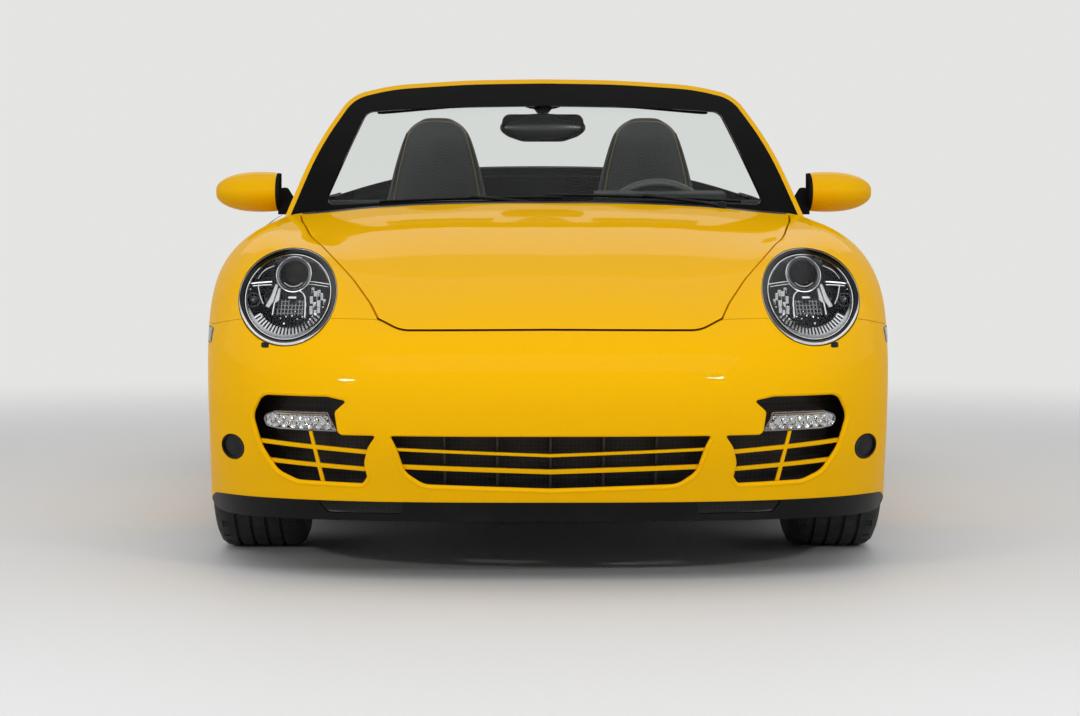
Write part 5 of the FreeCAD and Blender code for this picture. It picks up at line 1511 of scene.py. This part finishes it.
class CAR_OT_wheels(bpy.types.Operator):
    """Model the wheels: treaded tyres and ten-spoke rims with brake discs"""
    bl_idname = "car.wheels"
    bl_label = "Wheels"

    def execute(self, context):
        for end, x, y, radius, rim, width in AXLES:
            centre = (x, y, radius)
            self.wheel(end, centre, rim, width / 2 - 0.012)
            inner = (x - 0.045, y, radius)
            disc = turned("disc", [(DISC_RADIUS, 0.0), (DISC_RADIUS, 0.030), (0.092, 0.030), (0.088, 0.045),
                                   (0.060, 0.046), (0.0, 0.046)], inner, "X", 72)
            back = turned("back", [(DISC_RADIUS, 0.0), (0.0, 0.0005)], inner, "X", 72)
            filed_pair(smooth(united("disc", disc, back), 30), "brake_disc_%s" % end, "wheel_%s_*" % end,
                       "brake_disc")
            self.tyre(end, centre, rim, width)
        return {"FINISHED"}

    def wheel(self, end, centre, rim, outer):
        x, y, radius = centre
        profile = [(rim - 0.001, -outer), (rim - 0.012, -outer + 0.004), (rim - 0.016, -outer + 0.03),
                   (rim - 0.03, 0.0), (rim - 0.024, outer - 0.05), (rim - 0.010, outer - 0.012),
                   (rim - 0.004, outer + 0.002), (rim + 0.003, outer + 0.001), (rim - 0.002, outer - 0.006)]
        barrel = walled(turned("barrel", profile, centre, "X", 96), 0.004)
        face = x + outer - 0.012
        hub = turned("hub", [(0.078, -0.02), (0.078, 0.0), (0.070, 0.010), (0.045, 0.013), (0.034, 0.012),
                             (0.033, 0.016), (0.029, 0.019), (0.0, 0.020)], (face - 0.020, y, radius), "X",
                     64)
        spokes = [self.spoke(centre, face, rim, math.tau * i / SPOKES) for i in range(SPOKES)]
        bolts = []
        for i in range(5):
            angle = math.tau * i / 5
            place = (face - 0.010, y + BOLT_CIRCLE * math.cos(angle), radius + BOLT_CIRCLE * math.sin(angle))
            bolts.append(turned("bolt", [(0.0095, -0.004), (0.0095, 0.006), (0.008, 0.008), (0.0, 0.0085)],
                                place, "X", 6))
        filed_pair(smooth(united("wheel", barrel, hub, *spokes, *bolts), 30), "wheel_%s" % end,
                   "wheel_%s_*" % end, "rim_silver", ["rim_%s_*" % end])

    @staticmethod
    def spoke(centre, face, rim, angle):
        """A spoke that is dished along its length and widens towards the rim."""
        _, y, radius = centre
        spoke = block("spoke", (face - 0.03, y - SPOKE_HALF, radius + HUB_RADIUS),
                      (face, y + SPOKE_HALF, radius + rim - 0.012))
        with editing(spoke):
            pick(spoke, lambda f: f.normal.x > 0.9)
            bpy.ops.mesh.subdivide(number_cuts=3)
        for v in spoke.data.vertices:
            out = (v.co.z - radius - HUB_RADIUS) / (rim - 0.057)
            v.co.x += (0.012 * (out - 0.45) ** 2 * 4 - 0.010) if v.co.x > face - 0.001 else 0.0
            v.co.y = y + (v.co.y - y) * (0.72 + 0.5 * abs(out - 0.35))
        apply(spoke, "BEVEL", width=0.005, segments=3, limit_method="ANGLE")
        spoke.data.transform(Matrix.Translation(centre) @ Matrix.Rotation(angle, 4, "X")
                             @ Matrix.Translation([-c for c in centre]))
        return spoke

    def tyre(self, end, centre, rim, width):
        radius, half = centre[2], width / 2
        tread = radius - 0.0005
        wall = [(rim - 0.001, -half + 0.012), (rim + 0.012, -half + 0.004), (rim + 0.035, -half - 0.0005),
                (radius - 0.030, -half + 0.002), (radius - 0.012, -half + 0.010),
                (radius - 0.003, -half + 0.022), (tread, -half + 0.040)]
        profile = list(wall)
        for i in range(GROOVES):
            middle = -half + 0.040 + (width - 0.080) * (i + 0.5) / GROOVES
            profile += [(tread, middle - 0.0045), (tread - 0.007, middle - 0.0035),
                        (tread - 0.007, middle + 0.0035), (tread, middle + 0.0045)]
        profile += [(r, -p) for r, p in reversed(wall)]
        obj = turned("tyre", profile, centre, "X", TREAD_STEPS)

        def shoulder_gap(face):
            """Every fourth face of the tyre's shoulders is pressed in."""
            place = face.calc_center_median()
            across, up = place.y - centre[1], place.z - radius
            step = int(round(math.atan2(across, up) / math.tau * TREAD_STEPS))
            on_shoulder = half - 0.045 < abs(place.x - centre[0]) < half - 0.018
            return step % 4 == 0 and math.hypot(across, up) > radius - 0.004 and on_shoulder
        with editing(obj):
            pick(obj, shoulder_gap)
            bpy.ops.mesh.inset(thickness=0.0016, depth=-0.004, use_individual=True)
        filed_pair(smooth(walled(obj, 0.004), 40), "tyre_%s_tread" % end, "wheel_%s_*" % end,
                   "tyre_rubber", ["tyre_%s_*" % end])


# Cabin

DIAL_Z = 0.871
DIAL_Y = y_of(1828)
DIALS = ((0.0, 0.052, 19), (-0.092, 0.044, 15), (0.092, 0.044, 15))
COLUMN_TILT = math.radians(24)
WHEEL_RADIUS = 0.1675
SILL_X = 0.728


def on_wheel(across, up, out):
    """A place on the steering wheel: out is towards the driver, up along its tilted face."""
    return (SEAT_X + across, y_of(1895) - up * math.sin(COLUMN_TILT) + out * math.cos(COLUMN_TILT),
            0.815 + up * math.cos(COLUMN_TILT) + out * math.sin(COLUMN_TILT))


def file_trim(obj, finish, angle=None, body="chassis"):
    """Files a cabin piece, smoothed where an angle is given."""
    filed(smooth(obj, angle) if angle else obj, body, finish)


class CAR_OT_cabin(bpy.types.Operator):
    """Model the dials, vents, centre screen, gear lever, pedals, mats and the seals along the doors"""
    bl_idname = "car.cabin"
    bl_label = "Cabin"

    def execute(self, context):
        self.dials()
        self.dashboard_parts()
        self.controls()
        self.steering_trims()
        self.door_parts()
        return {"FINISHED"}

    def dials(self):
        faces, marks, bezels = [], [], []
        for dial_x, radius, count in DIALS:
            x = SEAT_X + dial_x
            place = (x, DIAL_Y, DIAL_Z)
            faces.append(turned("face", [(radius * 0.95, 0.002), (radius * 0.94, 0.0035), (0.006, 0.0035),
                                         (0.005, 0.008), (0.0, 0.0085)], place, "Y", 48))
            bezels.append(turned("bezel", [(radius * 0.94, 0.003), (radius * 0.96, 0.009), (radius, 0.010),
                                           (radius * 1.04, 0.006), (radius * 1.04, 0.0)], place, "Y", 48))
            for i in range(count):
                angle = math.radians(225 - 270 * i / (count - 1))
                long = 0.009 if i % 2 == 0 else 0.005
                tick = block("tick", (-0.0007, -0.0004, radius * 0.90 - long),
                             (0.0007, 0.0004, radius * 0.90))
                tick.data.transform(Matrix.Translation((x, DIAL_Y + 0.0042, DIAL_Z))
                                    @ Matrix.Rotation(math.pi / 2 - angle, 4, "Y"))
                marks.append(tick)
            needle = block("needle", (-0.0011, -0.0006, -0.008), (0.0011, 0.0006, radius * 0.78), 0.0004, 1)
            needle.data.transform(Matrix.Translation((x, DIAL_Y + 0.0075, DIAL_Z))
                                  @ Matrix.Rotation(-2.2, 4, "Y"))
            marks.append(needle)
        file_trim(united("dial_faces", *faces), "dial_black")
        file_trim(united("dial_bezels", *bezels), "satin_silver", 35)
        file_trim(united("dial_marks", *marks), "dial_white")

    def dashboard_parts(self):
        slats, rims = [], []
        y = y_of(1829)
        for x in (-0.07, 0.07, -0.54, 0.54):
            outline = box_outline((x - 0.064, 0.768), (x + 0.064, 0.817), 0.010)
            rim = outlined("rim", outline, from_front(y + 0.002), 0.006, 0.001)
            with editing(rim):
                pick(rim, lambda f: f.normal.y > 0.9 and f.calc_area() > 0.003)
                bpy.ops.mesh.inset(thickness=0.005)
                bpy.ops.mesh.extrude_region_move(TRANSFORM_OT_translate={"value": (0, -0.005, 0)})
            rims.append(rim)
            for i in range(5):
                z = 0.7765 + i * 0.008
                slats.append(block("slat", (x - 0.057, y + 0.0005, z - 0.001),
                                   (x + 0.057, y + 0.0045, z + 0.001), 0.0006, 1))
        file_trim(united("vents", *rims), "satin_silver", 30)
        file_trim(united("vent_slats", *slats), "black_plastic")

        outline = box_outline((-0.080, 0.694), (0.080, 0.751), 0.006)
        file_trim(outlined("display", outline, from_front(y_of(1806) + 0.003), 0.004, 0.001), "gloss_black")
        keys = [block("key", (x - 0.011, y_of(1775), z - 0.006), (x + 0.011, y_of(1800), z + 0.006), 0.0015,
                      2) for z in (0.664, 0.644) for x in (-0.06, -0.03, 0.0, 0.03, 0.06)]
        knobs = [turned("knob", [(0.013, -0.012), (0.013, 0.012), (0.011, 0.015), (0.0, 0.0155)],
                        (x, y_of(1792), 0.664), "Y", 28) for x in (-0.088, 0.088)]
        file_trim(united("console_keys", *keys, *knobs), "soft_black", 30)

        bar = closer([(-0.60, 0.835), (0.60, 0.835)], 0.05, closed=False)
        strip = tube("dash_strip", [(x, y_of(1833) + 0.002, z) for x, z in bar], 0.0035, kind="POLY", sides=2)
        file_trim(strip, "satin_silver", 35)

    def controls(self):
        place = (0.0, y_of(2010), 0.472)
        boot = turned("boot", [(0.052, -0.012), (0.050, 0.0), (0.043, 0.014), (0.046, 0.022), (0.034, 0.034),
                               (0.036, 0.042), (0.022, 0.058), (0.012, 0.070)], place, "Z", 40)
        file_trim(boot, "leather", 60)
        stick = turned("stick", [(0.006, 0.060), (0.006, 0.105), (0.018, 0.112), (0.024, 0.128),
                                 (0.023, 0.146), (0.014, 0.156), (0.0, 0.158)], place, "Z", 36)
        file_trim(stick, "wheel_leather", 40)
        ring = turned("ring", [(0.056, -0.012), (0.056, 0.001), (0.053, 0.004), (0.050, 0.001)], place, "Z",
                      48)
        file_trim(ring, "satin_silver", 35)
        brake = block("hand_brake", (0.105, y_of(2180), 0.452), (0.128, y_of(2330), 0.474), 0.008, 3)
        brake.data.transform(Matrix.Translation((-0.06, 0, 0.012)))
        file_trim(brake, "leather", 50)

        pads, arms = [], []
        y = y_of(1545)
        for x, low, high, half in ((0.245, 0.245, 0.315, 0.030), (0.325, 0.245, 0.315, 0.038),
                                   (0.415, 0.205, 0.330, 0.022)):
            outline = box_outline((x - half, low), (x + half, high), 0.01)
            pads.append(outlined("pad", outline, from_front(y), 0.010, 0.002))
            arms.append(tube("arm", [(x, y - 0.006, high - 0.02), (x, y - 0.05, high + 0.08),
                                     (x, y - 0.11, high + 0.17)], 0.006))
        file_trim(united("pedal_pads", *pads), "satin_silver")
        file_trim(united("pedal_arms", *arms), "black_plastic", 35)

        mat = moulded_form("floor_mat", 9, lambda u, v, w: (
            0.365 + 0.205 * u * (1 - 0.06 * v), y_of(1685) + 0.235 * v,
            0.188 + 0.005 * w * (1 - 0.3 * abs(u) ** 8)))
        filed_pair(smooth(subdivided(mat)), "floor_mat", "chassis", "carpet")

    def steering_trims(self):
        tilt = Matrix.Translation(on_wheel(0, 0, 0)) @ Matrix.Rotation(COLUMN_TILT, 4, "X")

        def plate(name, corners, out, thickness, bevel):
            obj = outlined(name, rounded(corners), from_front(0), thickness, bevel)
            obj.data.transform(tilt @ Matrix.Translation((0, out, 0)))
            return obj

        pad = plate("pad", [(-0.076, 0.042, 0.03), (0.076, 0.042, 0.03), (0.056, -0.060, 0.03),
                            (-0.056, -0.060, 0.03)], 0.037, 0.010, 0.004)
        file_trim(pad, "soft_black", 40, "steering_wheel")
        outlines = [[(side * 0.086, 0.020, 0.006), (side * 0.140, 0.012, 0.004),
                     (side * 0.140, -0.004, 0.004), (side * 0.086, -0.014, 0.006)] for side in (-1, 1)]
        outlines.append([(-0.012, -0.072, 0.004), (0.012, -0.072, 0.004), (0.008, -0.138, 0.004),
                         (-0.008, -0.138, 0.004)])
        inlays = [plate("inlay", outline, 0.0165, 0.004, 0.001) for outline in outlines]
        file_trim(united("wheel_inlays", *inlays), "satin_silver", 30, "steering_wheel")
        ring = [on_wheel(WHEEL_RADIUS * math.cos(a), WHEEL_RADIUS * math.sin(a), 0.0148)
                for a in np.linspace(0, math.tau, 121)]
        file_trim(stitches("wheel_stitching", ring, 0.009, 0.5, 0.0009), "thread", None, "steering_wheel")

    def door_parts(self):
        line = []
        for station in range(1620, 2741, 40):
            y = y_of(station)
            line.append((SILL_X, y, probe(DOOR_SKIN, (SILL_X, y, 2), (0, 0, -1)).z - 0.002))
        seal = tube("seal", line, 0.0075, kind="POLY", sides=2)
        filed_pair(smooth(seal), "door_seal", "door_*", "black_plastic")
        pull = tube("pull", [(0.694, y_of(2140), 0.690), (0.676, y_of(2160), 0.700),
                             (0.672, y_of(2250), 0.704), (0.676, y_of(2340), 0.700),
                             (0.694, y_of(2360), 0.690)], 0.008)
        filed_pair(smooth(pull), "door_pull", "door_*", "satin_silver")
        speaker = turned("speaker", [(0.076, 0.0), (0.076, -0.004), (0.070, -0.006), (0.050, -0.007),
                                     (0.0, -0.0075)], (0.690, y_of(1800), 0.470), "X", 48)
        filed_pair(smooth(speaker), "door_speaker", "door_*", "honeycomb")
        catch = tube("catch", [(0.690, y_of(1960), 0.745), (0.672, y_of(1980), 0.748),
                               (0.672, y_of(2040), 0.748), (0.690, y_of(2060), 0.745)], 0.006)
        filed_pair(smooth(catch), "door_catch", "door_*", "chrome")


# Tail

EXHAUST_X = 0.565
EXHAUST_Z = 0.258
ARCH_Y = 1.060
ARCH_Z = 0.333
ARCH_RADIUS = 0.3712
HOUSE_X = 0.897
BUMPER_EDGE = 1.3905
BUMPER_SLOPE = 0.9


def deck_flap():
    """The cloth edge that laps over the shoulder beside the folded top."""
    def place(u, v, w):
        along, across = (v + 1) / 2, (u + 1) / 2
        x = 0.6865 + across * 0.056 * (1 - 0.85 * along ** 2)
        y = y_of(2840 + 300 * along)
        return (x, y, top_z(x, y) + 0.0035 + 0.0025 * w)
    return smooth(moulded_form("flap", 7, place), 50)


def arch_filler():
    """The painted corner between the rear wheel's arch and the bumper's slanted edge."""
    spots = [(1.345, 0.600), (1.400, 0.600), (1.450, 0.590), (1.475, 0.560), (1.455, 0.530), (1.430, 0.510),
             (1.415, 0.480), (1.300, 0.640), (1.420, 0.640)]
    x_at = fitted(spots, (1.39, 0.55), side_x)

    def place(u, v, w):
        z = 0.5035 + 0.0735 * (w + 1) / 2
        arch = ARCH_Y + math.sqrt(ARCH_RADIUS ** 2 - (z - ARCH_Z) ** 2)
        edge = max(BUMPER_EDGE + (z - 0.52) * BUMPER_SLOPE, arch + 0.0005) + 0.001
        y = arch + (edge - arch) * (u + 1) / 2
        return (x_at(y, z) - 0.002 + 0.0018 * v, y, z)
    return smooth(moulded_form("arch_filler", 7, place), 40)


def rear_wheel_house():
    """The dark shell between the rear wheel and the body, open below."""
    shell = turned("house", [(0.215, -0.297), (0.365, -0.300), (0.3695, -0.292), (0.3695, 0.0)], axis="Z",
                   segments=120)
    with editing(shell):
        pick(shell, lambda f: f.calc_center_median().y < -0.42 * f.calc_center_median().xy.length)
        bpy.ops.mesh.delete(type="FACE")
    for point in shell.data.vertices:
        point.co = (HOUSE_X + point.co.z, ARCH_Y + point.co.x, ARCH_Z + point.co.y)
    return smooth(walled(shell, 0.002, 0))


class CAR_OT_tail(bpy.types.Operator):
    """Model the tail: exhaust tips, wheel houses, plate recess, reflectors, sensors, lid mesh and seams"""
    bl_idname = "car.tail"
    bl_label = "Tail"

    def execute(self, context):
        for number, x in enumerate((EXHAUST_X - 0.048, EXHAUST_X + 0.048)):
            place = (x, y_of(4322), EXHAUST_Z)
            tip = turned("tip", [(0.0375, -0.060), (0.0380, 0.0), (0.0395, 0.012), (0.0400, 0.016),
                                 (0.0385, 0.018), (0.0360, 0.012), (0.0352, 0.0)], place, "Y", 56)
            filed_pair(smooth(tip), "exhaust_tip_%d" % (number + 1), "chassis", "chrome")
            bore = turned("bore", [(0.0352, 0.0), (0.0350, -0.042), (0.0, -0.043)], place, "Y", 56)
            filed_pair(smooth(bore), "exhaust_bore_%d" % (number + 1), "chassis",
                       "black_plastic")

        filed_pair(deck_flap(), "deck_flap", "chassis", "canvas")
        filed_pair(arch_filler(), "arch_filler", "chassis", "gloss_paint")
        filed_pair(rear_wheel_house(), "rear_wheel_house", "chassis", "soft_black")
        self.plate_recess()

        strip = skin_oval("reflector", [(1.0, 0.003), (0.99, -0.001), (0.93, -0.0022), (0.5, -0.0028),
                                        (0.0, -0.0028)], (0.655, 0.405), (0.062, 0.011), "rear",
                          reach=(0.07, 0.03), share=1.2, power=7)
        filed_pair(smooth(strip), "rear_reflector", "chassis", "red_lens")
        for number, place in enumerate(((0.33, 0.475), (0.60, 0.492))):
            sensor = skin_oval("sensor", [(1.0, 0.002), (1.0, -0.0008), (0.9, -0.0014), (0.0, -0.0016)],
                               place, (0.0095, 0.0095), "rear", reach=(0.014, 0.014), segments=32)
            filed_pair(smooth(sensor), "parking_sensor_%d" % (number + 1), "chassis",
                       "gloss_paint")

        lamp = block("high_brake_lamp", (-0.13, y_of(4094), 0.853), (0.13, y_of(4102), 0.864), 0.002, 2)
        filed(lamp, "engine_lid", "red_lens")
        self.lid_mesh()

        seam = skin_oval("fuel_flap_seam", [(1.0, -0.0002), (0.972, -0.0004)], (y_of(1175), 0.792),
                         (0.083, 0.083), "left", reach=(0.085, 0.085), share=1.15, segments=96, power=2.6)
        other = mirrored(walled(seam, 0.0006), "fuel_flap_seam")
        bpy.data.objects.remove(seam)
        filed(other, "chassis", "black_plastic")
        return {"FINISHED"}

    def plate_recess(self):
        plate_y = y_of(4404)
        border = closer(box_outline((-0.262, 0.437), (0.262, 0.543), 0.010), 0.02)
        line = [(x, plate_y + 0.003, z) for x, z in border]
        filed(smooth(tube("plate_border", line, 0.0028, closed=True, kind="POLY", sides=2)), "chassis",
              "black_plastic")
        lamps = [block("plate_lamp", (x - 0.026, plate_y + 0.001, 0.5475),
                       (x + 0.026, plate_y + 0.012, 0.5545), 0.0015, 2) for x in (-0.12, 0.12)]
        filed(united("plate_lamps", *lamps), "chassis", "lamp_plastic")

    def lid_mesh(self):
        """The dark mesh below the engine lid's openings, sloped as the lid is."""
        ahead, behind = top_z(0.30, y_of(3555)), top_z(0.30, y_of(3800))
        low = min(top_z(x, y_of(station)) for x in (0.30, -0.30) for station in (3555, 3800)) - 0.034
        slope = (ahead - behind) / 2
        panel = moulded_form("lid_mesh", 9, lambda u, v, w: (
            0.27 * u, y_of(3676) + 0.135 * v, low + 0.002 * w + slope * -v - 0.004 * u * u))
        filed(panel, "engine_lid", "honeycomb")


CLASSES = (CarLooks, CAR_OT_stage, CAR_OT_panels, CAR_OT_headlamps, CAR_OT_front_end, CAR_OT_screen,
           CAR_OT_seats, CAR_OT_wheels, CAR_OT_cabin, CAR_OT_tail)
STEPS = ("stage", "panels", "headlamps", "front_end", "screen", "seats", "wheels", "cabin", "tail")


class CAR_PT_looks(bpy.types.Panel):
    """Lists the car's colours and the steps that dress it"""
    bl_idname = "CAR_PT_looks"
    bl_label = "Open sports car"
    bl_space_type = "VIEW_3D"
    bl_region_type = "UI"
    bl_category = "Car"

    def draw(self, context):
        for name in CarLooks.__annotations__:
            self.layout.prop(context.scene.car_looks, name)
        for step in STEPS:
            self.layout.operator("car." + step)


def register():
    for cls in CLASSES + (CAR_PT_looks,):
        bpy.utils.register_class(cls)
    bpy.types.Scene.car_looks = bpy.props.PointerProperty(type=CarLooks)


def unregister():
    del bpy.types.Scene.car_looks
    for cls in reversed(CLASSES + (CAR_PT_looks,)):
        bpy.utils.unregister_class(cls)


def main():
    register()
    for step in STEPS:
        getattr(bpy.ops.car, step)()


if __name__ == "__main__":
    main()
